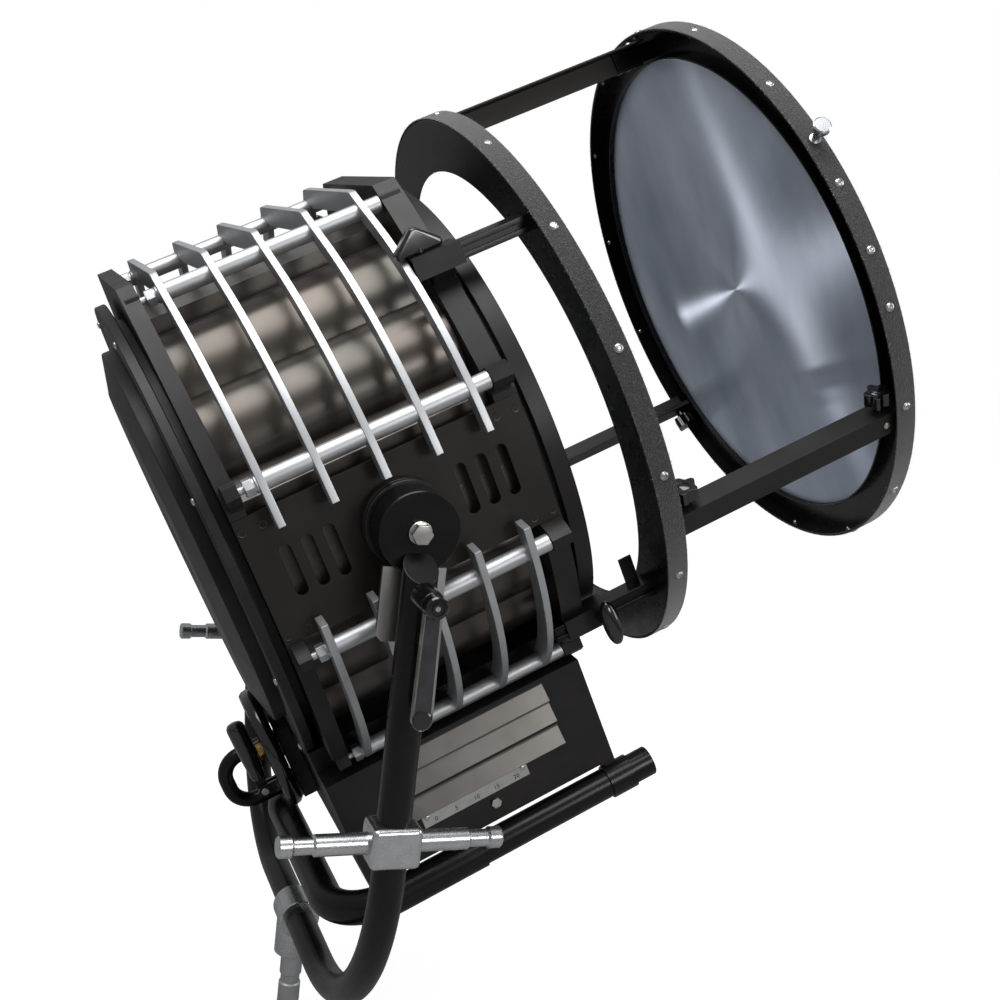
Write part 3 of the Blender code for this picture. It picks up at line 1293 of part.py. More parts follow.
def make_lens_ring(material):
    """Front ring with a lip round the lens, a seat behind it and tabs for the rails."""
    front = LENS_RING_FRONT
    rear = LENS_RING_REAR
    lip = front - WEB_T
    inner = RING_R - RING_T
    seat_in = BIG_LENS_R + GAP
    seat_out = seat_in + SEAT_T
    seat_rear = lip - SEAT_DEPTH
    profile = [(LENS_OPENING_R, front), (RING_R, front), (RING_R, rear), (inner, rear), (inner, lip),
               (seat_out, lip), (seat_out, seat_rear), (seat_in, seat_rear), (seat_in, lip),
               (LENS_OPENING_R, lip)]
    ring = place("lens_ring", turned_mesh("lens_ring", profile, FINE, closed=True), material, HEAD,
                 turn=ALONG_AXIS)
    add_tabs(ring, "lens", lip + 0.001 - TAB_LENGTH, lip + 0.001)
    for rail, degrees in RAIL_DEGS.items():
        cut_screw_room(ring, rail, degrees, STAR_SCREW_R + RUN)
    cutter = bore_mesh("thumb_hole", THUMB_STEM_R + RUN, RING_R - 0.02, RING_R + 0.02)
    cut(ring, place("thumb_hole", cutter, parent=HEAD, at=(thumb_a(), 0, 0), turn=thumb_turn()))


def groove_profile(front):
    """Stepped front of the Fresnel lens: each groove falls steeply and rises along its facet."""
    edge = LENS_OPENING_R - 0.004
    start = 0.040
    pitch = (edge - start) / GROOVES
    profile = [(0, front), (start * 0.6, front - 0.0004), (start, front - GROOVE_DEPTH)]
    for index in range(GROOVES):
        inner = start + pitch * index
        profile.append((inner + 0.0004, front))
        profile.append((inner + pitch, front - GROOVE_DEPTH))
    return profile


def make_fresnel_lens(material):
    """Large stepped lens behind the ring's lip, flat towards the lamp."""
    front = LENS_RING_FRONT - WEB_T - GAP
    rear = front - BIG_LENS_T
    profile = groove_profile(front)
    profile += [(profile[-1][0] + 0.0004, front), (BIG_LENS_R, front), (BIG_LENS_R, rear), (0, rear)]
    place("fresnel_lens", turned_mesh("fresnel_lens", profile, FINE), material, HEAD, turn=ALONG_AXIS)


def make_rail(rail, degrees, material):
    """Angle bar between the rings: its radial flange carries the knobs."""
    ridge = RAIL_RIDGE_R
    outline = [rail_point(degrees, ridge, 0), rail_point(degrees, ridge, RAIL_SIZE),
               rail_point(degrees, ridge - RAIL_T, RAIL_SIZE), rail_point(degrees, ridge - RAIL_T, RAIL_T),
               rail_point(degrees, ridge - RAIL_SIZE, RAIL_T), rail_point(degrees, ridge - RAIL_SIZE, 0)]
    rear = ADAPTER_REAR + WEB_T + GAP
    front = LENS_RING_FRONT - WEB_T - SEAT_DEPTH - GAP
    name = rail + "_rail"
    mesh = plate_mesh(name, outline, front - rear)
    obj = place(name, mesh, material, HEAD, ((front + rear) / 2, 0, 0), ALONG_AXIS)
    cut_screw_room(obj, rail, degrees, STAR_SCREW_R + RUN)


def star_outline():
    """Five round lobes with hollows between them."""
    points = []
    for index in range(STAR_LOBES * 3):
        angle = 2 * math.pi * index / (STAR_LOBES * 3)
        radius = STAR_R - STAR_HOLLOW * (1 - math.cos(STAR_LOBES * angle))
        points.append((radius * math.cos(angle), radius * math.sin(angle)))
    return points


def make_star_knob(rail, end, a, degrees, material):
    """Lobed knob on a screw that clamps the rail's flange to its tab."""
    name = f"{rail}_{end}_star_knob"
    t, u = rail_point(degrees, STAR_RADIUS, -GAP)
    tip = -(RAIL_T + GAP * 2 + TAB_T)
    profile = [(0, STAR_STEM + 0.001), (STAR_STEM_R, STAR_STEM + 0.001), (STAR_STEM_R, 0), (STAR_SCREW_R, 0),
               (STAR_SCREW_R, tip), (0, tip)]
    turn = star_turn(degrees)
    knob = place(name, turned_mesh(name, profile, SMALL), material, HEAD, (a, t, u), turn)
    lobes = plate_mesh("lobes", star_outline(), STAR_H)
    head_t, head_u = rail_point(degrees, STAR_RADIUS, -GAP - STAR_STEM - STAR_H / 2)
    join(knob, place("lobes_" + name, lobes, parent=HEAD, at=(a, head_t, head_u), turn=turn))


def thumb_a():
    return LENS_RING_FRONT - RING_WIDTH / 2


def thumb_turn():
    """Turns local Z to the radius on which the thumb bolt stands."""
    angle = math.radians(THUMB_DEG)
    return Vector((0, math.cos(angle), math.sin(angle))).to_track_quat("Z", "X").to_euler()


def make_thumb_bolt(material):
    top = RING_R + THUMB_REACH
    head = top - 0.008
    foot = RING_R + RUN
    tip = RING_R - RING_T - 0.004
    profile = [(0, top), (THUMB_HEAD_R, top), (THUMB_HEAD_R, head),
               (THUMB_STEM_R + 0.0005, head - 0.003), (THUMB_STEM_R + 0.0005, foot + 0.004),
               (0.0065, foot + 0.004), (0.0065, foot), (THUMB_STEM_R, foot), (THUMB_STEM_R, tip), (0, tip)]
    place("thumb_bolt", turned_mesh("thumb_bolt", profile, 10), material, HEAD, (thumb_a(), 0, 0),
          thumb_turn())


def bar_mesh(name, radius):
    """The cross bar of a T-knob, along local X, with rounded ends."""
    half = T_BAR_HALF
    profile = [(0, half), (0.6 * radius, half - 0.0008), (radius, half - 0.005), (radius, 0.005 - half),
               (0.6 * radius, 0.0008 - half), (0, -half)]
    mesh = turned_mesh(name, profile, 8)
    mesh.transform(Matrix.Rotation(math.pi / 2, 4, "Y"))
    return mesh


def make_t_knob(name, at, turn, reach, bar_r, tip, material):
    """Stem and screw along local Z from the ear's outer face, with the cross bar at its reach."""
    profile = [(0, reach), (T_STEM_R, reach), (T_STEM_R, 0), (T_SCREW_R, 0), (T_SCREW_R, -tip), (0, -tip)]
    knob = place(name, turned_mesh(name, profile, SMALL), material, HEAD, at, turn)
    rotation = HEAD_TURNS[turn]
    offset = rotation @ Vector((0, 0, reach))
    spot = tuple(Vector(at) + offset)
    join(knob, place("bar_" + name, bar_mesh("bar", bar_r), parent=HEAD, at=spot, turn=bar_turn(turn)))


def bar_turn(turn):
    """The cross bar lies along the beam on top, and upright on the sides."""
    if turn == (0, 0, 0):
        return turn
    return (0, math.pi / 2, 0)


HEAD_TURNS = {
    (0, 0, 0): Matrix.Identity(3),
    NEAR_OUT: Matrix.Rotation(math.pi / 2, 3, "X"),
    FAR_OUT: Matrix.Rotation(-math.pi / 2, 3, "X"),
}


def make_t_knobs(material):
    wall = RUN + EAR_WALL + RUN
    for side, sign in SIDES.items():
        face = ARM_U + AXIS_DROP + ARM_HEIGHT / 2 + wall
        make_t_knob(side + "_top_knob", (TOP_KNOB_A, sign * ARM_T, face), (0, 0, 0),
                    TOP_KNOB_RISE + TOP_BAR_R, TOP_BAR_R, wall - T_SCREW_BACK, material)
        face = ARM_T + ARM_WIDTH / 2 + wall
        make_t_knob(side + "_low_knob", (LOW_KNOB_A, sign * face, AXIS_DROP - ARM_U), OUTWARD[side],
                    LOW_KNOB_REACH - face, T_BAR_R, wall - T_SCREW_BACK, material)


def build():
    """Every sub-part, with the finish it has in daylight."""
    black = finish_material("satin_black_enamel", (0.012, 0.012, 0.013), 0.45)
    powder = finish_material("fine_black_powder_coat", (0.020, 0.020, 0.021), 0.55)
    housing = finish_material("warm_black_anodised_sheet", (0.050, 0.045, 0.040), 0.42, 0.6)
    plate = finish_material("dark_grey_side_plate", (0.060, 0.056, 0.054), 0.5, 0.3)
    aluminium = finish_material("satin_aluminium", (0.62, 0.62, 0.63), 0.32, 1.0)
    zinc = finish_material("bright_zinc", (0.60, 0.59, 0.56), 0.25, 1.0)
    plastic = finish_material("glossy_black_plastic", (0.010, 0.010, 0.010), 0.25)
    glass = finish_material("lens_glass", (0.80, 0.86, 0.90), 0.05, alpha=0.1)
    mirror = finish_material("polished_reflector", (0.85, 0.85, 0.86), 0.08, 1.0)
    quartz = finish_material("quartz_lamp", (0.90, 0.90, 0.88), 0.05, alpha=0.2)
    iron = finish_material("grey_cast_bearing", (0.12, 0.12, 0.12), 0.6, 0.4)

    make_yoke(black)
    make_spigot(aluminium)
    for side in SIDES:
        make_side_pin(side, zinc)
        make_pivot_bolt(side, zinc)
        make_side_plate(side, plate)
        make_brake_disc(side, powder)
        make_guard_rod(side + "_top_rod", side, TOP_ROD, aluminium)
        make_guard_rod(side + "_upper_rod", side, UPPER_ROD, aluminium)
        make_lower_guard(side, aluminium)
    make_brake_plate(zinc)
    make_clamp_lever(plastic)

    make_frames(powder)
    make_upper_ribs(aluminium)
    make_upper_housing(housing)
    make_lower_housing(housing)
    make_rear_cover(make_rear_ring(powder), powder)
    make_front_lens(make_flange_ring(powder), glass)

    room = ring_room()
    make_base_box(room, powder)
    make_skid(black)
    make_rear_handle(black)
    make_focus_gearbox(room, iron)
    make_focus_shaft(zinc)
    make_hand_wheel(plastic)
    make_crank_grip(plastic)

    make_carriage_track(aluminium)
    make_lamp_carriage(iron)
    make_lamp(quartz)
    make_reflector(mirror)
    make_ignitor(iron)

    make_middle_ring(black)
    make_lens_ring(black)
    make_fresnel_lens(glass)
    for rail, degrees in RAIL_DEGS.items():
        make_rail(rail, degrees, powder)
        for end, a in star_places().items():
            make_star_knob(rail, end, a, degrees, plastic)
    make_thumb_bolt(zinc)
    make_t_knobs(plastic)


clear_scene()
PARTS = new_collection("hmi_light")
TOOLS = new_collection("cutters")
TILT = add_empty("tilt_axis", (0, 0, PIVOT_Z), (0, -math.radians(TILT_DEG), 0))
HEAD = add_empty("head_frame", (0, 0, -AXIS_DROP), parent=TILT)
build()
bpy.context.view_layer.update()
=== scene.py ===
"""HMI lamp head with its cooling guard, in a tilting yoke, with a wide Fresnel lens in front.

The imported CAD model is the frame. The round, bent and pressed pieces that the camera sees are made
again here with finer turning and rounded edges, each in the place of its own CAD node. The cast and
folded pieces keep the CAD shape, with softened edges. Screws, rivets, bands and the scale are new.

Lengths are metres. Pieces of the head are made in the head's own axes (a along the beam to the
front, t across it, u up), and one matrix tilts them into place.
"""

import math
import random

import bmesh
import bpy
from mathutils import Matrix, Vector


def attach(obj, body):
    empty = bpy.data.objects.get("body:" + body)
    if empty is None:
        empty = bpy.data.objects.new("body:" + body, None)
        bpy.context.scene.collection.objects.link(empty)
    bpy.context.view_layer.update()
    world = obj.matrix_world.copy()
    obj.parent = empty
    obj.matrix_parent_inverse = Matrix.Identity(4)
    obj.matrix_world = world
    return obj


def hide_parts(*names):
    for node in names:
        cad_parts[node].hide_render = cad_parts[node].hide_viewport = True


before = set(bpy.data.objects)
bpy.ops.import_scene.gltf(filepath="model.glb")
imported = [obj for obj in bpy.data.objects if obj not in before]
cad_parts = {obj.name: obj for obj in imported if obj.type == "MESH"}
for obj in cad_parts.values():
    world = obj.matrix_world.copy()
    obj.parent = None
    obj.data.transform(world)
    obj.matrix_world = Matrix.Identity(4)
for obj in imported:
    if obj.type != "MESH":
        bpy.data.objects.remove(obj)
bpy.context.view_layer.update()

# Fits and finish
GAP = 0.0003
EDGE = 0.0006            # rounding of machined edges
CAST_EDGE = 0.0008       # rounding of cast and folded edges
CAST_SHARP_DEG = 30.0
SOFT = 0.0008            # small chamfer on turned pieces
LIP = 0.0012             # wider chamfer on turned pieces
TURNS = 96               # facets round a large ring
FINE_TURNS = 40          # facets round a rod or knob
SMALL_TURNS = 20         # facets round a screw head

# Yoke
SPIGOT_R = 0.014
SPIGOT_LENGTH = 0.075
TENON_R = 0.010
TENON_LENGTH = 0.023
BOSS_R = 0.0235
SLEEVE_R = 0.025
SLEEVE_LENGTH = 0.047
YOKE_TUBE_R = 0.018
YOKE_HALF_WIDTH = 0.355
YOKE_BEND_R = 0.230
MITRE_DEG = 35.7
MITRE_DROP = 0.031
BAR_Z = 0.130
PIVOT_Z = 0.711
PUCK_R = 0.042
PUCK_FACE = 0.341
BOLT_R = 0.008
LEVER_DROP = 0.055
LEVER_HUB_LENGTH = 0.0447
LEVER_HANDLE_LENGTH = 0.125
PIN_DROP = 0.319
PIN_HALF_LENGTH = 0.118
PIN_R = 0.0113
PIN_COLLAR_R = 0.0222
PIN_COLLAR_LENGTH = 0.053

# Head
TILT_DEG = 27.7
AXIS_DROP = 0.0057
BODY_U = 0.006
REAR_A = -0.160
FRONT_A = 0.160
BAY_REAR = -0.142
BAY_FRONT = 0.1335
SIDE_FACE = 0.281
SIDE_PLATE_T = 0.004
SIDE_PLATE_LOW = -0.065
SIDE_PLATE_HIGH = 0.077
SLOT_WIDTH = 0.013
SLOT_HEIGHT = 0.058
SLOT_PITCH = 0.024
SLOT_GROUP_A = 0.098
BRAKE_DISC_R = 0.0455
BRAKE_DISC_T = 0.0217
HOUSING_T = 0.0025
HOUSING_HALF_WIDTH = 0.262
HOUSING_TOP = 0.262
HOUSING_TOP_HALF_WIDTH = 0.0855
HOUSING_BOTTOM = -0.2266
NOTCH_R = 0.250
SCALLOP_RISE = 0.0266

# Cooling guard
RIB_T = 0.008
RIB_FIRST = -0.118
RIB_LAST = 0.1108
RIB_COUNT = 5
LOWER_RIB_SHIFT = -0.002
RIB_OUTER_R = 0.3185
RIB_INNER_R = 0.2975
RIB_END_DEG = 10.0
RIB_SHOULDER_DEG = 58.0
RIB_TOP = 0.311
RIB_TOP_HALF_WIDTH = 0.121
LOWER_RIB_R = 0.3225
LOWER_RIB_DEPTH = 0.024
ROD_R = 0.0095
ROD_HEX_H = 0.006
RODS = {"top": (0.1235, 0.288), "upper": (0.2916, 0.1057)}
LOWER_RODS = ((0.293, -0.082), (0.1795, -0.257))

# Rear and front rings of the head
REAR_RING_R = 0.285
REAR_RING_BORE = 0.225
REAR_RING_STEP_R = 0.262
REAR_RING_FACE = -0.1820
COVER_R = 0.235
COVER_DEPTH = 0.026
FLANGE_R = 0.286
FLANGE_LENGTH = 0.0257
FLANGE_BORE = 0.2362
FLANGE_LIP_R = 0.228
LENS_DOME = 0.022

# Base, skid and rear controls
BOX_HALF_WIDTH = 0.195
LOUVRE_REAR = -0.110
LOUVRE_FRONT = 0.093
LOUVRE_TOPS = (-0.278, -0.306, -0.337)
SKID_U = -0.436
SKID_R = 0.018
SKID_FRONT = 0.184
SKID_REAR = -0.230
SKID_BEND_R = 0.075
SLEEVE_FROM = -0.045
BEND_SLEEVE_R = 0.020
FRONT_SLEEVE_R = 0.0205
FRONT_SLEEVE = (0.125, 0.158)
HANDLE_T = 0.128
HANDLE_R = 0.010
HANDLE_SEAT = -0.1803
HANDLE_BACK = -0.2803
HANDLE_TOP = -0.335
HANDLE_LOW = -0.403
WHEEL_T = 0.030
WHEEL_U = -0.300
WHEEL_REAR = -0.221
WHEEL_R = 0.079
WHEEL_WIDTH = 0.021
SHAFT_R = 0.007
GRIP_A = -0.2406
GRIP_DROP = 0.049
GRIP_R = 0.0118
GRIP_NECK = 0.018
GRIP_LENGTH = 0.082

# Inside
ARC_A = -0.030
BULB_R = 0.034
LAMP_BASE_R = 0.020
LAMP_BASE_U = -0.120
REFLECTOR_R = 0.085
REFLECTOR_T = 0.0015
REFLECTOR_DEG = 62.0

# Adapter
ADAPTER_REAR = 0.247
RING_FRONT = 0.272
LENS_RING_REAR = 0.551
LENS_RING_FRONT = 0.576
RING_R = 0.344
RING_T = 0.0025
WEB_T = 0.003
WEB_HOLE_R = 0.2806
LENS_OPENING_R = 0.2975
BIG_LENS_R = 0.3042
BIG_LENS_T = 0.006
SEAT_DEPTH = 0.013
ARM_T = 0.2201
ARM_U = 0.2198
ARM_WIDTH = 0.027
ARM_HEIGHT = 0.018
ARM_REAR = 0.120
RAIL_RIDGE_R = 0.335
RAIL_T = 0.003
RAIL_DEGS = {"near": 200.0, "top": 80.0, "far": 320.0}
TAB_LENGTH = 0.052
STAR_R = 0.0155
STAR_H = 0.016
STAR_STEM = 0.010
STAR_RADIUS = 0.321
STAR_PLACES = {"rear": 0.290, "front": 0.543}
THUMB_DEG = 145.5
MIDDLE_RIVETS = [-32.8 + 24 * index for index in range(15)]      # degrees above the near side
LENS_RIVETS = [-42.0, -18.6, 1.7, 12.5, 25.6, 49.0, 73.9] + [98 + 24.4 * index
    for index in range(9)]
THUMB_A = 0.5635
KNOB_WALL = 0.0035       # what stands over an arm in its ear
TOP_KNOB_A = 0.130
LOW_KNOB_A = 0.1765
LOW_KNOB_T = 0.265
EGG_HALF = 0.0270
STEP_PITCH = 0.0034      # steps of the lens, coarser than the real ones
BAND_SEAT = 0.0001       # glue under the loop tape
BAND_T = 0.0012
LINT_SEED = 7
LINT_COUNT = 2600        # loose loops on a band

# Room
FLOOR_HALF = 9.0

SIDES = {"near": -1, "far": 1}

# Turns of a piece's own axes into the head's or the yoke's
ALONG_AXIS = Matrix(((0, 0, 1), (1, 0, 0), (0, 1, 0))).to_4x4()    # Z to the front, X across
ACROSS = {"near": Matrix.Rotation(math.pi / 2, 4, "X"),
    "far": Matrix.Rotation(-math.pi / 2, 4, "X")}
HEAD = (Matrix.Translation((0, 0, PIVOT_Z)) @ Matrix.Rotation(-math.radians(TILT_DEG), 4, "Y")
    @ Matrix.Translation((0, 0, -AXIS_DROP)))
UPRIGHT = Matrix.Identity(4)
BEAM = (HEAD.to_3x3() @ Vector((1, 0, 0))).normalized()


# Materials


def linear(colour):
    """A hex sRGB colour as linear RGBA."""
    values = [int(colour[i:i + 2], 16) / 255 for i in (1, 3, 5)]
    return (*[v / 12.92 if v <= 0.04045 else ((v + 0.055) / 1.055) ** 2.4 for v in values], 1.0)


SLOTS = {}               # the CAD material slot that each finish goes by


def new_finish(name, slot, colour, roughness, metallic=0.0, **sockets):
    """A material with its surface shader; other sockets are named with underscores for spaces."""
    made = bpy.data.materials.new(name)
    made.use_nodes = True
    shader = made.node_tree.nodes["Principled BSDF"]
    shader.inputs["Base Color"].default_value = linear(colour)
    shader.inputs["Roughness"].default_value = roughness
    shader.inputs["Metallic"].default_value = metallic
    for socket, value in sockets.items():
        shader.inputs[socket.replace("_", " ")].default_value = value
    SLOTS[made.name] = slot
    return made


def add(material, kind, inputs=None, **settings):
    """Add a node; inputs take a value or another node's output socket."""
    node = material.node_tree.nodes.new(kind)
    for key, value in settings.items():
        setattr(node, key, value)
    for key, value in (inputs or {}).items():
        if isinstance(value, bpy.types.NodeSocket):
            material.node_tree.links.new(value, node.inputs[key])
        else:
            node.inputs[key].default_value = value
    return node


def drive(material, socket, output):
    """Link an output to one of the surface shader's sockets."""
    shader = material.node_tree.nodes["Principled BSDF"]
    material.node_tree.links.new(output, shader.inputs[socket])


def place_of(material, stretch=(1, 1, 1)):
    """Object coordinates, stretched along an axis where the grain runs one way."""
    point = add(material, "ShaderNodeTexCoord").outputs["Object"]
    if stretch == (1, 1, 1):
        return point
    return add(material, "ShaderNodeMapping", {"Vector": point, "Scale": stretch}).outputs["Vector"]


def noise(material, millimetres, detail, point=None):
    """Noise whose features take this many millimetres."""
    return add(material, "ShaderNodeTexNoise", {
        "Vector": point or place_of(material), "Scale": 1000.0 / millimetres, "Detail": detail
    }).outputs["Fac"]


def spread(material, value, low, high, start=0.3, end=0.7):
    """Map a pattern's middle range to a range of values."""
    return add(material, "ShaderNodeMapRange", {
        "Value": value, "From Min": start, "From Max": end, "To Min": low, "To Max": high
    }).outputs["Result"]


def shade(material, value, low, high, start=0.3, end=0.7):
    """Blend two hex colours by a pattern and give the result to the surface."""
    share = spread(material, value, 0.0, 1.0, start, end)
    mix = add(material, "ShaderNodeMix", {0: share, 6: linear(low), 7: linear(high)},
        data_type="RGBA")
    drive(material, "Base Color", mix.outputs[2])


def patterned(name, slot, colour, roughness, metallic=0.0, bump=None, dull=None, tones=None,
        grain=1, **sockets):
    """A finish with patterns of noise, each given by its size in mm, its detail and what it does.

    bump ends with a depth in mm, dull with a range of roughness and tones with two hex colours.
    grain stretches the bump along X. A dull of two values follows the bump's own pattern."""
    made = new_finish(name, slot, colour, roughness, metallic, **sockets)
    if bump:
        size, detail, depth = bump
        height = noise(made, size, detail, place_of(made, (grain, 1, 1)))
        relief = add(made, "ShaderNodeBump", {"Height": height, "Strength": 1.0,
            "Distance": depth / 1000})
        drive(made, "Normal", relief.outputs["Normal"])
    if dull:
        *own, low, high = dull
        drive(made, "Roughness", spread(made, noise(made, *own) if own else height, low, high))
    if tones:
        size, detail, *ends = tones
        shade(made, noise(made, size, detail), *ends)
    return made


def round_the_beam(material):
    """Direction round the optical axis at a point; its length is the distance from the axis."""
    middle = HEAD @ Vector((0, 0, 0))
    offset = add(material, "ShaderNodeVectorMath", {0: place_of(material), 1: middle},
        operation="SUBTRACT").outputs["Vector"]
    return add(material, "ShaderNodeVectorMath", {0: offset, 1: BEAM},
        operation="CROSS_PRODUCT").outputs["Vector"]


def moulded_fresnel_glass():
    """Pressed heat-resistant glass with steps on its front, a cloudy blue-grey.

    The tangent runs out from the middle, as the fine steps spread light across themselves, which
    draws a lamp out to a streak through the middle. The real steps are near 1 mm; they are drawn
    at STEP_PITCH so that they show."""
    made = new_finish("moulded_fresnel_glass", "lens_glass", "#C0CCE2", 0.29, 0.60,
        Transmission_Weight=0.12, Anisotropic=1.0, Specular_IOR_Level=0.4)
    round_axis = round_the_beam(made)
    outwards = add(made, "ShaderNodeVectorMath", {0: BEAM, 1: round_axis},
        operation="CROSS_PRODUCT").outputs["Vector"]
    straight = add(made, "ShaderNodeVectorMath", {0: outwards}, operation="NORMALIZE")
    drive(made, "Tangent", straight.outputs["Vector"])
    radius = add(made, "ShaderNodeVectorMath", {0: round_axis}, operation="LENGTH").outputs["Value"]
    rings = add(made, "ShaderNodeMath", {0: radius, 1: STEP_PITCH}, operation="PINGPONG").outputs[0]
    steps = add(made, "ShaderNodeMath", {0: rings, 1: 1 / STEP_PITCH}, operation="MULTIPLY")
    drive(made, "Roughness", spread(made, steps.outputs[0], 0.28, 0.30, 0.0, 1.0))
    shade(made, noise(made, 110, 4, place_of(made, (1, 1, 0.3))), "#A8B4CA", "#D6E0F2")
    return made


# Black stoved enamel on steel tube: smooth, half gloss, a faint orange peel and dry dust
ENAMEL = patterned("black_stove_enamel", "satin_black_enamel", "#08080A", 0.27,
    bump=(2.2, 2, 0.015), dull=(34, 4, 0.25, 0.30),
    tones=(60, 5, "#070708", "#0E0E10"), Specular_IOR_Level=0.28)
# Fine-texture powder coat on cast aluminium: a sandy grain that breaks up the shine
POWDER = patterned("black_powder_coat", "fine_black_powder_coat", "#151313", 0.44,
    bump=(1.6, 3, 0.05), dull=(25, 4, 0.42, 0.48),
    tones=(45, 5, "#121010", "#1E1B1A"), Specular_IOR_Level=0.34)
# Black anodised sheet, warm where the lamp's heat has faded it, with a rolled grain
BRONZE = patterned("bronze_black_anodising", "warm_black_anodised_sheet", "#4B4844", 0.31, 0.80,
    bump=(1.1, 3, 0.008), dull=(40, 4, 0.29, 0.33),
    tones=(90, 4, "#464440", "#57504A"), grain=0.08, Specular_IOR_Level=0.9)
# Dark grey-brown anodised plate, flat and satin, with a fine rolled grain
PLATE = patterned("grey_anodised_plate", "dark_grey_side_plate", "#2A2725", 0.40, 0.55,
    bump=(0.9, 3, 0.006), dull=(0.40, 0.45), tones=(70, 4, "#282523", "#2F2C29"),
    grain=0.06, Specular_IOR_Level=0.4)
# Slanted faces of the louvres, in a satin grey metal far lighter than the black box they are folded
# from: a painted highlight for the shine of the lamps on the black sheet
LOUVRE_HIGHLIGHT = patterned("louvre_painted_highlight", "fine_black_powder_coat", "#625F5C", 0.36, 0.9,
    bump=(1.0, 3, 0.006), dull=(0.36, 0.39), tones=(50, 3, "#5C5956", "#686562"),
    grain=0.06)
# Laser-cut and turned aluminium, bead-blasted and clear anodised: a soft white-grey sheen
ALUMINIUM = patterned("satin_aluminium", "satin_aluminium", "#B6B8BA", 0.45, 0.88,
    bump=(1.2, 3, 0.02), dull=(12, 4, 0.44, 0.47),
    tones=(28, 4, "#B2B4B6", "#BBBDBF"))
# Zinc-plated turned steel: bright and even, its tool rings too fine to see apart
STEEL = patterned("turned_steel", "bright_zinc", "#C0C2C4", 0.27, 1.0,
    dull=(3, 3, 0.26, 0.28), tones=(12, 3, "#B8BABC", "#C4C6C8"))
# Bright zinc plating on screws and plates, a little cloudy
ZINC = patterned("zinc_plate", "bright_zinc", "#BDBCB8", 0.30, 1.0,
    dull=(5, 4, 0.28, 0.33), tones=(30, 3, "#B8B7B3", "#C2C1BD"))
# Yellow-passivated zinc on the wheel's nut: a warm brassy tint
YELLOW = patterned("yellow_zinc", "bright_zinc", "#B08A45", 0.30, 1.0,
    dull=(6, 4, 0.27, 0.33), tones=(4, 4, "#9A7738", "#C7A45E"))
# Glass-filled nylon knobs, moulded glossy, with a faint flow pattern
GLOSS = patterned("gloss_black_moulding", "glossy_black_plastic", "#070708", 0.16,
    bump=(3.0, 3, 0.015), dull=(14, 4, 0.14, 0.19),
    tones=(20, 3, "#060607", "#0E0E10"), Coat_Weight=0.5, Coat_Roughness=0.08)
# Tumbled die-cast lever, dark nickel with polished high edges
LEVER = patterned("lever_casting", "glossy_black_plastic", "#4A4A4C", 0.38, 0.85,
    bump=(1.2, 3, 0.02), dull=(10, 4, 0.37, 0.40),
    tones=(15, 4, "#454547", "#505053"))
FRESNEL = moulded_fresnel_glass()
# Clear front glass of the head, blown smooth, with a slow wave in it
BOROSILICATE = patterned("borosilicate_glass", "lens_glass", "#EAF2F2", 0.03,
    bump=(45, 2, 0.10), dull=(60, 4, 0.02, 0.06),
    Transmission_Weight=1.0, IOR=1.47)
# Fused quartz bulb: water-clear, with faint drawing marks
QUARTZ = patterned("quartz_glass", "quartz_lamp", "#F2F4F4", 0.02, bump=(20, 2, 0.05),
    dull=(25, 3, 0.01, 0.05), Transmission_Weight=1.0, IOR=1.46)
# Spun and polished aluminium: a clean mirror, a little hazy in places
MIRROR = patterned("polished_mirror", "polished_reflector", "#E2E3E4", 0.07, 1.0,
    dull=(20, 4, 0.06, 0.08), tones=(35, 3, "#D9DADB", "#E9EAEA"))
# Dark grey painted sand casting: a pebbled skin under the paint
CASTING = patterned("grey_sand_casting", "grey_cast_bearing", "#2A2A2B", 0.52, 0.2,
    bump=(2.0, 4, 0.12), dull=(9, 4, 0.50, 0.56),
    tones=(16, 4, "#212122", "#363637"))
# Black nylon loop tape: a matted pile with lint on its crowns, drawn at 1.4 mm a tuft
LOOP = patterned("loop_fastener", "satin_black_enamel", "#161618", 0.9, bump=(1.4, 5, 1.1),
    tones=(1.8, 6, "#0C0C0D", "#3A3A3D", 0.42, 0.72),
    Sheen_Weight=0.55, Sheen_Roughness=0.5)
# Loose light nylon loops and lint on the tape's edges
LINT = patterned("lint_fibre", "satin_black_enamel", "#77777A", 0.8,
    tones=(6, 3, "#4E4E51", "#A3A3A6"), Sheen_Weight=0.3)
# Brushed aluminium scale plate: fine lines along it that stretch the shine
SCALE = patterned("brushed_scale", "satin_aluminium", "#B9B9B6", 0.34, 1.0,
    bump=(0.8, 4, 0.03), dull=(0.32, 0.38), tones=(14, 4, "#B2B2AF", "#C2C2BF"),
    grain=0.05)
# Matt black ink in the scale's engraved lines
INK = patterned("engraving_ink", "satin_aluminium", "#18181A", 0.7,
    tones=(2, 3, "#111112", "#242426"))


# Shapes


def polar(radius, degrees, rise=0.0):
    """A point at a radius and an angle, its second value lifted by rise."""
    angle = math.radians(degrees)
    return (radius * math.cos(angle), rise + radius * math.sin(angle))


def hexagon(radius):
    """Corners of a hexagon."""
    return [polar(radius, 60 * step) for step in range(6)]


def arc(radius, start, end, steps, rise=0.0):
    """Points on an arc from one angle to another."""
    span = (end - start) / steps
    return [polar(radius, start + span * step, rise) for step in range(steps + 1)]


def bowed(start, end, rise, steps):
    """Points from start to end on an arc that stands out to the left of the way by rise."""
    start, end = Vector(start), Vector(end)
    chord = end - start
    half = chord.length / 2
    radius = (half * half + rise * rise) / (2 * rise)
    normal = Vector((-chord.y, chord.x)).normalized()
    centre = (start + end) / 2 - normal * (radius - rise)
    sweep = 2 * math.asin(half / radius)
    return [tuple(centre + Matrix.Rotation(-sweep * step / steps, 2) @ (start - centre))
        for step in range(steps + 1)]


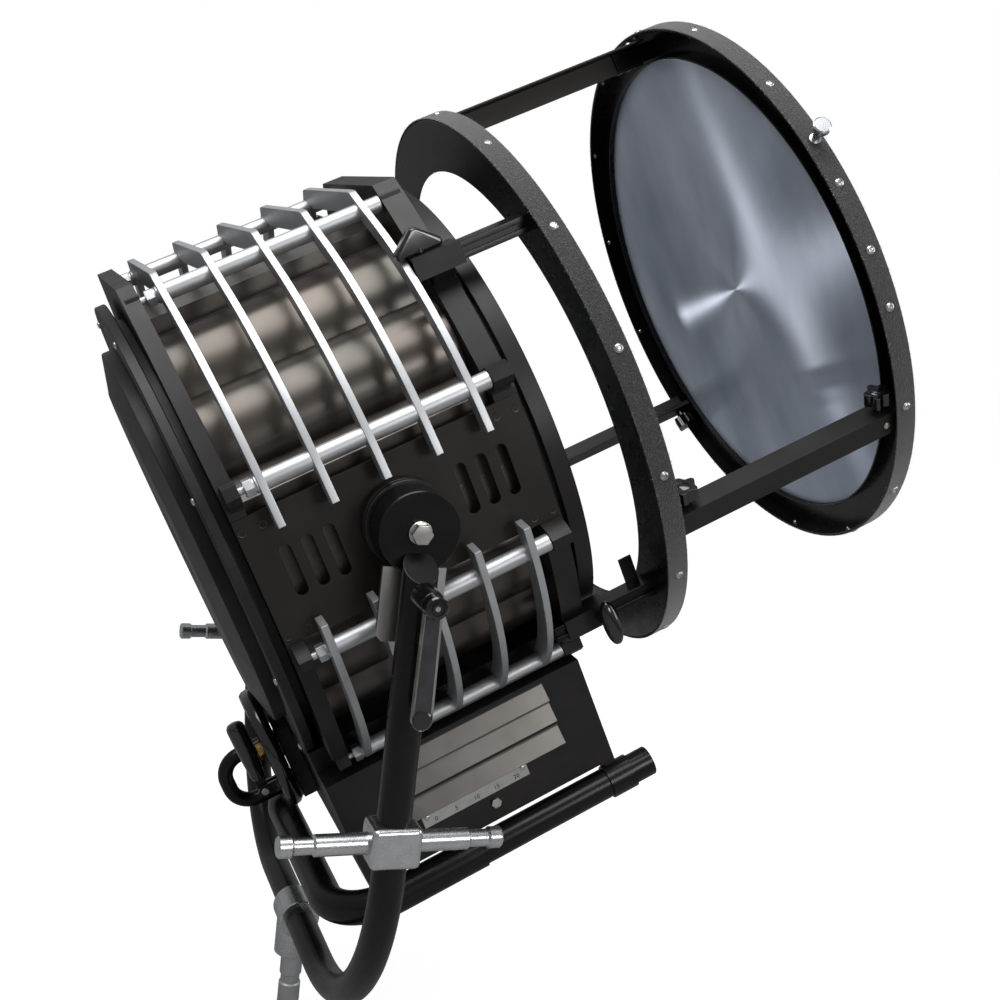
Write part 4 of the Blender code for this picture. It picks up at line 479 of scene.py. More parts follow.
def turned(profile, steps=FINE_TURNS, closed=False):
    """A piece turned round local Z from its (radius, height) profile."""
    bm = bmesh.new()
    verts = [bm.verts.new((radius, 0, height)) for radius, height in profile]
    ends = verts[1:] + verts[:1] if closed else verts[1:]
    edges = [bm.edges.new(pair) for pair in zip(verts, ends)]
    bmesh.ops.spin(bm, geom=verts + edges, cent=(0, 0, 0), axis=(0, 0, 1), angle=math.tau,
        steps=steps, use_merge=True)
    bmesh.ops.remove_doubles(bm, verts=bm.verts, dist=1e-6)
    bmesh.ops.recalc_face_normals(bm, faces=bm.faces)
    return bm


def plate(outline, thickness, holes=()):
    """A flat plate in local XY with holes, its thickness centred on local Z."""
    bm = bmesh.new()
    for loop in (outline, *holes):
        verts = [bm.verts.new((x, y, -thickness / 2)) for x, y in loop]
        for pair in zip(verts, verts[1:] + verts[:1]):
            bm.edges.new(pair)
    bmesh.ops.triangle_fill(bm, use_beauty=True, use_dissolve=False, edges=bm.edges)
    made = bmesh.ops.extrude_face_region(bm, geom=bm.faces[:])
    moved = [item for item in made["geom"] if isinstance(item, bmesh.types.BMVert)]
    bmesh.ops.translate(bm, verts=moved, vec=(0, 0, thickness))
    bmesh.ops.recalc_face_normals(bm, faces=bm.faces)
    return bm


def block(low, high):
    """A box from its lowest and highest corners."""
    bm = bmesh.new()
    bmesh.ops.create_cube(bm, size=1.0)
    low, high = Vector(low), Vector(high)
    bmesh.ops.scale(bm, verts=bm.verts, vec=high - low)
    bmesh.ops.translate(bm, verts=bm.verts, vec=(low + high) / 2)
    return bm


def rounded(bm, width=EDGE, segments=2, angle=40.0):
    """Round every edge sharper than the angle."""
    sharp = [edge for edge in bm.edges if edge.is_manifold
        and edge.calc_face_angle(0) > math.radians(angle)]
    bmesh.ops.bevel(bm, geom=sharp, offset=width, offset_type="OFFSET", segments=segments,
        profile=0.5, affect="EDGES", clamp_overlap=True, material=-1)
    return bm


def solid_of(curve):
    """The closed shape of a curve or a text, its seams welded."""
    maker = bpy.data.objects.new("maker", curve)
    mesh = bpy.data.meshes.new_from_object(maker)
    bm = bmesh.new()
    bm.from_mesh(mesh)
    bpy.data.objects.remove(maker)
    bpy.data.meshes.remove(mesh)
    bpy.data.curves.remove(curve)
    bmesh.ops.remove_doubles(bm, verts=bm.verts, dist=1e-6)
    bmesh.ops.recalc_face_normals(bm, faces=bm.faces)
    return bm


def tube(points, radius, scales=None, sides=32):
    """A round tube along a line of points, closed at its ends."""
    curve = bpy.data.curves.new("tube", "CURVE")
    curve.dimensions = "3D"
    curve.bevel_depth = radius
    curve.bevel_resolution = sides // 2 - 2
    curve.use_fill_caps = True
    line = curve.splines.new("POLY")
    line.points.add(len(points) - 1)
    for index, point in enumerate(points):
        line.points[index].co = (*point, 1.0)
        line.points[index].radius = scales[index] if scales else 1.0
    return solid_of(curve)


def moved(bm, at=(0, 0, 0), turn=UPRIGHT):
    """Turn a shape and then move it."""
    bmesh.ops.transform(bm, matrix=Matrix.Translation(at) @ turn, verts=bm.verts)
    return bm


def along(bm, at=(0, 0, 0)):
    """Turn a shape's own Z to the front of the head."""
    return moved(bm, at, ALONG_AXIS)


def facing(out):
    """Turn that points local Z out along a vector."""
    return out.to_track_quat("Z", "X").to_matrix().to_4x4()


def ring(profile, steps=TURNS):
    """A ring turned round the optical axis."""
    return along(turned(profile, steps, closed=True))


def together(*shapes):
    """Several closed shapes as one piece."""
    whole = shapes[0]
    for shape in shapes[1:]:
        mesh = bpy.data.meshes.new("shape")
        shape.to_mesh(mesh)
        shape.free()
        whole.from_mesh(mesh)
        bpy.data.meshes.remove(mesh)
    return whole


def piece(name, bm, material, body="head", *stands_for, slot=None, room=None, smooth=35.0):
    """Put a finished shape in the scene on its body, in the place of the CAD nodes it stands for.

    Shapes of the yoke and the lever are made upright and all others in the head's axes, unless
    room says otherwise; smooth is the angle in degrees over which an edge stays sharp."""
    if room is None:
        room = UPRIGHT if body in ("yoke", "lever") else HEAD
    bmesh.ops.transform(bm, matrix=room, verts=bm.verts)
    mesh = bpy.data.meshes.new(name)
    bm.to_mesh(mesh)
    bm.free()
    mesh.shade_smooth()
    mesh.set_sharp_from_angle(angle=math.radians(smooth))
    mesh.materials.append(material)
    made = bpy.data.objects.new(name, mesh)
    bpy.context.scene.collection.objects.link(made)
    level = made.modifiers.new("level_faces", "WEIGHTED_NORMAL")
    level.keep_sharp = True
    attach(made, body)
    if stands_for:
        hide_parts(*stands_for)
    slot = slot or SLOTS[material.name]
    return made


def softened(node, material, body="head", slot=None):
    """A cast or folded piece in the CAD node's own shape, its faces merged and its edges eased."""
    bm = bmesh.new()
    bm.from_mesh(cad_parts[node].data)
    bmesh.ops.remove_doubles(bm, verts=bm.verts, dist=1e-5)
    bmesh.ops.dissolve_limit(bm, angle_limit=math.radians(0.5), verts=bm.verts, edges=bm.edges)
    made = piece(node + "_eased", bm, material, body, node, slot=slot, room=UPRIGHT,
        smooth=CAST_SHARP_DEG)
    ease = made.modifiers.new("eased_edges", "BEVEL")
    ease.width = CAST_EDGE
    ease.segments = 2
    ease.limit_method = "ANGLE"
    ease.angle_limit = math.radians(CAST_SHARP_DEG)
    made.modifiers.move(1, 0)
    return made


# Screws and rivets, each standing on local Z = 0


def cup_rivet():
    """Pop rivet: a domed flange round its broken mandrel."""
    radius = 0.0052
    profile = [(0, 0.0016), (0.0013, 0.0015), (0.0015, 0.0010), (0.0021, 0.0011), (0.0025, 0.0022),
        (0.0034, 0.0021), (0.0046, 0.0012), (radius, 0.0002), (radius, -0.001)]
    return turned(profile, SMALL_TURNS)


def rivet_tail():
    """Blind end of a rivet, inside the ring."""
    return turned([(0, 0.0038), (0.0016, 0.0036), (0.0028, 0.0024), (0.0026, 0.0008),
        (0.0034, -0.0005)], SMALL_TURNS)


def socket_recess(radius, depth):
    """A six-sided well, set in a socket screw's head."""
    well = bmesh.new()
    bmesh.ops.create_cone(well, cap_ends=True, segments=6, radius1=radius, radius2=radius,
        depth=depth)
    return well


def pan_screw(radius=0.0042, height=0.0026):
    """Low rounded head of a screw."""
    profile = [(0, height), (0.45 * radius, height * 0.98), (0.8 * radius, height * 0.8),
        (radius, height * 0.35), (radius, -0.001)]
    return turned(profile, SMALL_TURNS)


def countersunk_screw():
    """Flat head a hair below the surface with the raised rim of a finishing washer round it."""
    radius = 0.0042
    profile = [(0, -0.0003), (0.7 * radius, -0.0003), (0.78 * radius, 0.0006),
        (0.95 * radius, 0.0007), (radius, 0.0002), (radius, -0.001)]
    return turned(profile, SMALL_TURNS)


def hex_head(radius, height):
    """Hexagon head with a chamfered crown."""
    head = plate(hexagon(radius), height)
    moved(head, (0, 0, height / 2))
    rounded(head, 0.0005)
    crown = turned([(0, height + 0.0004), (radius * 0.5, height + 0.0004), (radius * 0.84, height),
        (radius * 0.84, height - 0.001)], SMALL_TURNS)
    return together(head, crown)


# Yoke


def yoke_line():
    """Middle line of the bent tube, from arm top to arm top."""
    bend_y = YOKE_HALF_WIDTH - YOKE_BEND_R
    bend_z = BAR_Z + YOKE_BEND_R
    half = [(0, -YOKE_HALF_WIDTH, PIVOT_Z)]
    half += [(0, x - bend_y, z + bend_z) for x, z in arc(YOKE_BEND_R, 180, 270, 28)]
    return half + [(0, -y, z) for _, y, z in reversed(half)]


def make_yoke():
    """Bent tube with mitred tops, a puck at each pivot, and the bar's sleeve and boss."""
    bar = tube(yoke_line(), YOKE_TUBE_R)
    angle = math.radians(MITRE_DEG)
    for sign in SIDES.values():
        normal = (0, sign * math.sin(angle), math.cos(angle))
        at = (0, sign * YOKE_HALF_WIDTH, PIVOT_Z - MITRE_DROP)
        whole = [*bar.verts, *bar.edges, *bar.faces]
        cut = bmesh.ops.bisect_plane(bar, geom=whole, plane_co=at, plane_no=normal,
            clear_outer=True)
        rim = [item for item in cut["geom_cut"] if isinstance(item, bmesh.types.BMEdge)]
        bmesh.ops.edgeloop_fill(bar, edges=rim)
    rounded(bar, 0.0008, angle=25)
    shapes = [bar]
    inner = SIDE_FACE + GAP + BRAKE_DISC_T + 0.0005
    bore = BOLT_R + GAP
    profile = [(bore, PUCK_FACE), (PUCK_R - LIP, PUCK_FACE), (PUCK_R, PUCK_FACE - LIP),
        (PUCK_R, inner + LIP), (PUCK_R - LIP, inner), (bore, inner)]
    for side in SIDES:
        shapes.append(moved(turned(profile, 72, closed=True), (0, 0, PIVOT_Z), ACROSS[side]))
    half = SLEEVE_LENGTH / 2
    sleeve = turned([(YOKE_TUBE_R - 0.001, half), (SLEEVE_R - LIP, half), (SLEEVE_R, half - LIP),
        (SLEEVE_R, LIP - half), (SLEEVE_R - LIP, -half), (YOKE_TUBE_R - 0.001, -half)], 48)
    low = SPIGOT_LENGTH + GAP
    boss = turned([(0, BAR_Z), (BOSS_R, BAR_Z), (BOSS_R, low + LIP), (BOSS_R - LIP, low),
        (TENON_R + GAP, low)], 48)
    fitting = together(moved(sleeve, (0, 0, BAR_Z), ACROSS["near"]), boss)
    piece("bar_fitting", fitting, STEEL, "yoke", slot="satin_black_enamel")
    piece("yoke_fork", together(*shapes), ENAMEL, "yoke", "yoke_tube")


def make_spigot():
    """Stand spigot with its grooved neck and the tenon that goes up into the boss."""
    top = SPIGOT_LENGTH + TENON_LENGTH
    neck = SPIGOT_R - 0.0018
    profile = [(0, top), (TENON_R - 0.001, top), (TENON_R, top - 0.001), (TENON_R, SPIGOT_LENGTH),
        (SPIGOT_R - 0.0008, SPIGOT_LENGTH), (SPIGOT_R, SPIGOT_LENGTH - 0.0008), (SPIGOT_R, 0.046),
        (neck, 0.0442), (neck, 0.0338), (SPIGOT_R, 0.032), (SPIGOT_R, 0.0022),
        (SPIGOT_R - 0.0022, 0), (0, 0)]
    piece("spigot", turned(profile), ALUMINIUM, "yoke", "stand_spigot")


def make_side_pins():
    """Cross pins, each with a collar round the arm, a grooved stud each way and a socket screw."""
    collar = PIN_COLLAR_LENGTH / 2
    groove_low = collar + 0.055
    groove_top = groove_low + 0.0215
    neck = PIN_R - 0.0023
    half = [(0, PIN_HALF_LENGTH), (PIN_R - 0.002, PIN_HALF_LENGTH),
        (PIN_R, PIN_HALF_LENGTH - 0.002), (PIN_R, groove_top + LIP), (PIN_R - LIP, groove_top),
        (neck, groove_top - LIP), (neck, groove_low + LIP), (PIN_R - LIP, groove_low),
        (PIN_R, groove_low - LIP), (PIN_R, collar + LIP), (PIN_R + LIP, collar - 0.001)]
    profile = half + [(radius, -height) for radius, height in reversed(half)]
    r = PIN_COLLAR_R
    for side, sign in SIDES.items():
        at = (0, sign * YOKE_HALF_WIDTH, PIVOT_Z - PIN_DROP)
        hub = rounded(block((-r, -r, -collar), (r, r, collar)), 0.0065, 5, 60)
        pin = along(together(turned(profile, 48), hub), at)
        piece(side + "_cross_pin", pin, STEEL, "yoke", side + "_side_pin")
        face = (0, sign * (YOKE_HALF_WIDTH + PIN_COLLAR_R - 0.0006), PIVOT_Z - PIN_DROP)
        screw = turned([(0.0032, -0.004), (0.0032, 0.0004), (0.0052, 0.0006), (0.0058, 0),
            (0.0058, -0.002)])
        piece(side + "_pin_screw", moved(screw, face, ACROSS[side]), ZINC, "yoke")
        # The socket is a black-inked hexagon seen through the open screw head: painted shade at the
        # bottom of the socket.
        well = socket_recess(0.0033, 0.0012)
        face = (0, sign * (YOKE_HALF_WIDTH + PIN_COLLAR_R - 0.0009), PIVOT_Z - PIN_DROP)
        piece(side + "_pin_socket_shade", moved(well, face, ACROSS[side]), INK, "yoke",
            slot="bright_zinc")


def make_pivot_bolts():
    """Bolts through the pucks, each with a washer outside and its nut inside the side plate."""
    washer_r = 0.012
    washer_top = PUCK_FACE + GAP + 0.0025
    nut_top = SIDE_FACE - SIDE_PLATE_T - 0.0005
    for side in SIDES:
        profile = [(0, washer_top), (washer_r - 0.0006, washer_top),
            (washer_r, washer_top - 0.0006), (washer_r, PUCK_FACE + GAP), (BOLT_R, PUCK_FACE + GAP),
            (BOLT_R, nut_top), (0.0125, nut_top), (0.0125, nut_top - 0.010), (0, nut_top - 0.010)]
        bolt = together(turned(profile), moved(hex_head(0.011, 0.008), (0, 0, washer_top)))
        moved(bolt, (0, 0, PIVOT_Z), ACROSS[side])
        piece(side + "_bolt", bolt, ZINC, "yoke", side + "_pivot_bolt")


def make_clamp_lever():
    """Black hub with a stepped end, and a cast handle with a raised rim round a sunk face."""
    top = LEVER_HUB_LENGTH
    at = Vector((0, -YOKE_HALF_WIDTH - YOKE_TUBE_R - GAP, PIVOT_Z - LEVER_DROP))
    reach = YOKE_TUBE_R * 2 + 0.006
    profile = [(0, top), (0.0052, top), (0.0056, top - 0.0012), (0.0070, top - 0.0012),
        (0.0074, top), (0.0100, top - 0.0002), (0.0114, top - 0.0018), (0.0122, top - 0.012),
        (0.0126, top - 0.0125), (0.0138, 0.001), (0.0130, 0), (0.005, 0), (0.005, -reach),
        (0, -reach)]
    piece("lever_hub", moved(turned(profile, 48), at, ACROSS["near"]), GLOSS, "lever",
        "clamp_lever")
    end_r = 0.0105
    end = LEVER_HANDLE_LENGTH - end_r
    outline = arc(0.009, 0, 180, 12) + [(x, y - end) for x, y in arc(end_r, 180, 360, 14)]
    handle = plate(outline, 0.007)
    bmesh.ops.dissolve_faces(handle, faces=[face for face in handle.faces if face.normal.z > 0.9])
    front = [face for face in handle.faces if face.normal.z > 0.9]
    bmesh.ops.inset_region(handle, faces=front, thickness=0.0016, depth=0.0, use_even_offset=True)
    front = [face for face in handle.faces if face.normal.z > 0.9 and len(face.verts) > 8]
    bmesh.ops.translate(handle, verts=list({v for face in front for v in face.verts}),
        vec=(0, 0, -0.0015))
    rounded(handle, 0.0007)
    for face in handle.faces:
        face.material_index = 0 if len(face.verts) > 8 and face.normal.z > 0 else 1
    middle = at + Vector((0, -0.6 * top - 0.0045, 0))
    grip = piece("lever_handle", moved(handle, middle, ACROSS["near"]), LEVER, "lever")
    grip.data.materials.append(ZINC)
    cap = turned([(0, 0.0042), (0.0085, 0.0042), (0.0102, 0.0030), (0.0104, -0.0030),
        (0.0085, -0.0042), (0, -0.0042)], FINE_TURNS)
    moved(cap, (0, -end - 0.0005, 0))
    piece("lever_cap", moved(cap, middle, ACROSS["near"]), GLOSS, "lever")
    screw = socket_recess(0.0028, 0.001)
    tip = at + Vector((0, -top - 0.0001, 0))
    piece("lever_socket", moved(screw, tip, ACROSS["near"]), ZINC, "lever",
        slot="glossy_black_plastic")


# Head


def make_side_plates():
    """Plates with vent slots, and the ringed screws at their corners."""
    middle_u = (SIDE_PLATE_LOW + SIDE_PLATE_HIGH) / 2
    outline = [(FRONT_A, SIDE_PLATE_LOW), (FRONT_A, SIDE_PLATE_HIGH), (REAR_A, SIDE_PLATE_HIGH),
        (REAR_A, SIDE_PLATE_LOW)]
    holes = [[(x, y + AXIS_DROP) for x, y in arc(BOLT_R + 0.0005, 0, 345, 23)]]
    reach = SLOT_HEIGHT / 2 - SLOT_WIDTH / 2
    for group in (-1, 1):
        for index in (-1, 0, 1):
            a = group * SLOT_GROUP_A + index * SLOT_PITCH
            holes.append([(a + x, middle_u + y + reach) for x, y in arc(SLOT_WIDTH / 2, 0, 180, 10)]
                + [(a + x, middle_u + y - reach) for x, y in arc(SLOT_WIDTH / 2, 180, 360, 10)])
    for side, sign in SIDES.items():
        sheet = rounded(plate(outline, SIDE_PLATE_T, holes), 0.0004, 2)
        moved(sheet, (0, sign * (SIDE_FACE - SIDE_PLATE_T / 2), 0), ACROSS["near"])
        piece(side + "_vent_plate", sheet, PLATE, "head", side + "_side_plate")
        screws = [moved(countersunk_screw(), (a, sign * SIDE_FACE, u), ACROSS[side])
            for a in (-0.154, -0.132, 0.130, 0.152) for u in (0.063, -0.056)]
        piece(side + "_plate_screws", together(*screws), LEVER, slot="bright_zinc")


def make_brake_discs():
    """Friction discs on the side plates, grooved round their rims."""
    low = SIDE_FACE + GAP
    top = low + BRAKE_DISC_T
    bore = BOLT_R + 0.0005
    r = BRAKE_DISC_R
    profile = [(bore, top), (r - SOFT, top), (r, top - SOFT), (r, top - 0.006),
        (r - SOFT, top - 0.0068), (r - SOFT, top - 0.0078), (r, top - 0.0086), (r, low + SOFT),
        (r - SOFT, low), (bore, low)]
    for side in SIDES:
        disc = moved(turned(profile, 72, closed=True), (0, 0, AXIS_DROP), ACROSS[side])
        piece(side + "_friction_disc", disc, POWDER, "head", side + "_brake_disc")


def scallop(start, end):
    """One bowed panel of the housing between two notches, given as angles."""
    return bowed(polar(NOTCH_R, start, BODY_U), polar(NOTCH_R, end, BODY_U), SCALLOP_RISE, 18)


def folded_sheet(section, low, high):
    """A sheet bent to an open section of (t, u) points, from a low to a high place on the axis."""
    bm = bmesh.new()
    verts = [bm.verts.new((low, t, u)) for t, u in section]
    edges = [bm.edges.new(pair) for pair in zip(verts, verts[1:])]
    end = 0.001
    for length in (end, high - low - 2 * end, end):
        made = bmesh.ops.extrude_edge_only(bm, edges=edges)
        edges = [item for item in made["geom"] if isinstance(item, bmesh.types.BMEdge)]
        far = [item for item in made["geom"] if isinstance(item, bmesh.types.BMVert)]
        bmesh.ops.translate(bm, verts=far, vec=(length, 0, 0))
    bmesh.ops.recalc_face_normals(bm, faces=bm.faces)
    return bm


def make_housing():
    """Both halves: scalloped panels that stand between the notches, with a folded seam in each."""
    half = [(HOUSING_TOP_HALF_WIDTH, HOUSING_TOP)] + scallop(70, 45.5) + scallop(45.5, 23.5)[1:]
    half += [(HOUSING_HALF_WIDTH, BODY_U + 0.080), (HOUSING_HALF_WIDTH, BODY_U + GAP / 2)]
    upper = [(-t, u) for t, u in reversed(half)] + half
    half = [(HOUSING_HALF_WIDTH, BODY_U - GAP / 2), (HOUSING_HALF_WIDTH, BODY_U - 0.076)]
    half += scallop(-18, -43.2) + scallop(-43.2, -65)[1:]
    half += [(half[-1][0], HOUSING_BOTTOM)]
    lower = half + [(-t, u) for t, u in reversed(half)]
    for name, section in {"upper": upper, "lower": lower}.items():
        made = piece(name + "_shell", folded_sheet(section, BAY_REAR + GAP, BAY_FRONT - GAP),
            BRONZE, "head", name + "_housing", smooth=50)
        wall = made.modifiers.new("wall", "SOLIDIFY")
        wall.thickness = HOUSING_T
        wall.offset = 0.0
        made.modifiers.move(1, 0)


# Cooling guard


def rib_places(shift=0.0):
    """Where the ribs stand along the axis."""
    pitch = (RIB_LAST - RIB_FIRST) / (RIB_COUNT - 1)
    return [RIB_FIRST + shift + pitch * index for index in range(RIB_COUNT)]


def make_upper_ribs():
    """Five arched ribs over the housing, flat at the top."""
    corner = RIB_TOP_HALF_WIDTH
    outer = [(corner - 0.016, RIB_TOP), (corner - 0.008, RIB_TOP - 0.0006),
        (corner - 0.003, RIB_TOP - 0.002), (corner + 0.003, RIB_TOP - 0.0062)]
    outer += arc(RIB_OUTER_R, RIB_SHOULDER_DEG, RIB_END_DEG, 24, BODY_U)
    inner = arc(RIB_INNER_R, RIB_END_DEG, RIB_SHOULDER_DEG, 24, BODY_U)
    drop = RIB_OUTER_R - RIB_INNER_R + 0.0035
    inner += [(corner - 0.016, RIB_TOP - drop + 0.004), (corner - 0.024, RIB_TOP - drop)]
    loop = outer + inner
    outline = loop + [(-t, u) for t, u in reversed(loop)]
    for number, a in enumerate(rib_places(), 1):
        rib = rounded(plate(outline, RIB_T), 0.0009)
        piece(f"guard_rib_{number}", along(rib, (a, 0, 0)), ALUMINIUM, "head",
            f"upper_rib_{number}")


def guard_rod():
    """A turned rod from frame to frame, with a hexagon and stud at its rear end."""
    front = BAY_FRONT - GAP
    stud = BAY_REAR + GAP
    seat = stud + ROD_HEX_H
    rod = turned([(0, front), (ROD_R - SOFT, front), (ROD_R, front - SOFT), (ROD_R, seat + 0.012),
        (ROD_R - 0.0012, seat + 0.0108), (ROD_R - 0.0012, seat), (0.004, seat), (0.004, stud),
        (0, stud)], FINE_TURNS)
    flats = plate(hexagon(ROD_R + 0.0004), 0.009)
    return together(rod, moved(rounded(flats, 0.0005), (0, 0, seat + 0.0048)))


def make_guard_rods():
    """The rods that run through the upper ribs."""
    for side, sign in SIDES.items():
        for name, (t, u) in RODS.items():
            rod = along(guard_rod(), (0, sign * t, u))
            piece(f"{side}_{name}_tie_rod", rod, ALUMINIUM, "head", f"{side}_{name}_rod")


def make_lower_guards():
    """The ribs and rods below each side plate, one welded guard a side."""
    start, end = -8.5, -56.5
    outer = arc(LOWER_RIB_R, start, end, 22)
    inner = arc(LOWER_RIB_R - LOWER_RIB_DEPTH, end + 0.5, start, 22)
    for side, sign in SIDES.items():
        outline = [(sign * t, u) for t, u in outer + inner]
        shapes = [along(rounded(plate(outline, RIB_T), 0.0009), (a, 0, 0))
            for a in rib_places(LOWER_RIB_SHIFT)]
        shapes += [along(guard_rod(), (0, sign * t, u)) for t, u in LOWER_RODS]
        piece(side + "_guard", together(*shapes), ALUMINIUM, "head", side + "_lower_guard")


# Rear and front rings, glass


def make_rear_ring():
    """Clamp ring with a shallow groove, the pressed cover in it and its screws."""
    top = REAR_A - GAP
    step = top - 0.0097
    rear = REAR_RING_FACE
    profile = [(REAR_RING_BORE, top), (REAR_RING_STEP_R, top), (REAR_RING_STEP_R, step),
        (REAR_RING_R - LIP, step), (REAR_RING_R, step - LIP), (REAR_RING_R, rear + LIP),
        (REAR_RING_R - LIP, rear), (0.266, rear), (0.2652, rear + 0.0012), (0.2600, rear + 0.0012),
        (0.2592, rear), (REAR_RING_BORE, rear)]
    piece("rear_clamp_ring", ring(profile), POWDER, "head", "rear_ring")
    front = rear - GAP
    back = front - COVER_DEPTH
    shoulder = COVER_R - 0.045
    bend = front - 0.0137
    wall = 0.0025
    outer = [(COVER_R, front), (COVER_R, bend + 0.002), (COVER_R - 0.0006, bend),
        (COVER_R - 0.003, bend - 0.001), (shoulder + 0.004, back + 0.0016),
        (shoulder, back + 0.0003), (shoulder - 0.006, back), (0.060, back), (0.058, back + 0.001),
        (0, back + 0.001)]
    inner = [(0, back + wall + 0.001), (shoulder - 0.001, back + wall),
        (COVER_R - wall, bend + 0.0015), (COVER_R - wall, front)]
    piece("pressed_cover", ring(outer + inner), POWDER, "head", "rear_cover")
    to_rear = ALONG_AXIS @ Matrix.Rotation(math.pi, 4, "X")
    screws = [moved(pan_screw(), (rear - 0.0002, *polar(0.275, 22.5 + 45 * index)), to_rear)
        for index in range(8)]
    piece("ring_screws", together(*screws), ZINC)


def make_flange_ring():
    """Front ring with its outer groove, and the domed glass behind its lip."""
    rear = FRONT_A + GAP
    front = rear + FLANGE_LENGTH
    lip = front - 0.006
    groove = rear + 0.0057
    profile = [(FLANGE_LIP_R, front), (FLANGE_R - LIP, front), (FLANGE_R, front - LIP),
        (FLANGE_R, groove + 0.0006), (FLANGE_R - 0.0006, groove), (0.276, groove), (0.276, rear),
        (FLANGE_BORE, rear), (FLANGE_BORE, lip), (FLANGE_LIP_R, lip)]
    piece("lens_flange", ring(profile), POWDER, "head", "flange_ring")
    seat = lip - GAP
    reach = FLANGE_LIP_R - 0.0005
    curve = (reach * reach + LENS_DOME * LENS_DOME) / (2 * LENS_DOME)
    reaches = [reach * step / 16 for step in range(17)]
    dome = [(x, seat + LENS_DOME - curve + math.sqrt(curve ** 2 - x ** 2)) for x in reaches]
    radius = FLANGE_BORE - 0.0008
    profile = dome + [(radius, seat), (radius, seat - 0.008), (0, seat - 0.008)]
    piece("front_glass", along(turned(profile, 72)), BOROSILICATE, "head", "front_lens")


# Base, skid and rear controls


def make_skid():
    """Skid tube bent round behind the head, with sleeves over its bends and near its front."""
    bend_a = SKID_REAR + SKID_BEND_R
    bend_t = BOX_HALF_WIDTH - SKID_BEND_R
    runs = [(SKID_FRONT, SKID_R - LIP), (SKID_FRONT - LIP, SKID_R), (FRONT_SLEEVE[1], SKID_R),
        (FRONT_SLEEVE[1] - SOFT, FRONT_SLEEVE_R), (FRONT_SLEEVE[0], FRONT_SLEEVE_R),
        (FRONT_SLEEVE[0] - SOFT, SKID_R), (SLEEVE_FROM, SKID_R),
        (SLEEVE_FROM - SOFT, BEND_SLEEVE_R)]
    half = [((a, -BOX_HALF_WIDTH, SKID_U), radius) for a, radius in runs]
    half += [((bend_a + x, y - bend_t, SKID_U), BEND_SLEEVE_R)
        for x, y in arc(SKID_BEND_R, 270, 180, 18)]
    line = half + [((a, -t, u), radius) for (a, t, u), radius in reversed(half)]
    bar = tube([point for point, radius in line], SKID_R,
        [radius / SKID_R for point, radius in line])
    piece("skid_rail", bar, ENAMEL, "head", "skid_tube", smooth=45)


def make_rear_handle():
    """Bent rod handle beside the hand wheel."""
    bend = 0.028
    line = [(HANDLE_SEAT, HANDLE_TOP)]
    line += [(HANDLE_BACK + bend + x, HANDLE_TOP - bend + y) for x, y in arc(bend, 90, 180, 10)]
    line += [(HANDLE_BACK + bend + x, HANDLE_LOW + bend + y) for x, y in arc(bend, 180, 270, 10)]
    line.append((HANDLE_SEAT, HANDLE_LOW))
    bar = tube([(a, HANDLE_T, u) for a, u in line], HANDLE_R, sides=24)
    piece("grab_handle", bar, ENAMEL, "head", "rear_handle")


def make_focus_shaft():
    """Lead screw of the lamp's carriage and the nut that holds the wheel on it."""
    nut_front = WHEEL_REAR - GAP
    profile = [(0, 0.136), (SHAFT_R - 0.001, 0.136), (SHAFT_R, 0.135), (SHAFT_R, nut_front - 0.007),
        (0, nut_front - 0.007)]
    shaft = along(turned(profile, 24), (0, WHEEL_T, WHEEL_U))
    piece("lead_screw", shaft, STEEL, "wheel", "focus_shaft")
    nut = rounded(plate(hexagon(0.011), 0.007), 0.0005)
    piece("wheel_nut", along(nut, (nut_front - 0.0035, WHEEL_T, WHEEL_U)), YELLOW, "wheel")


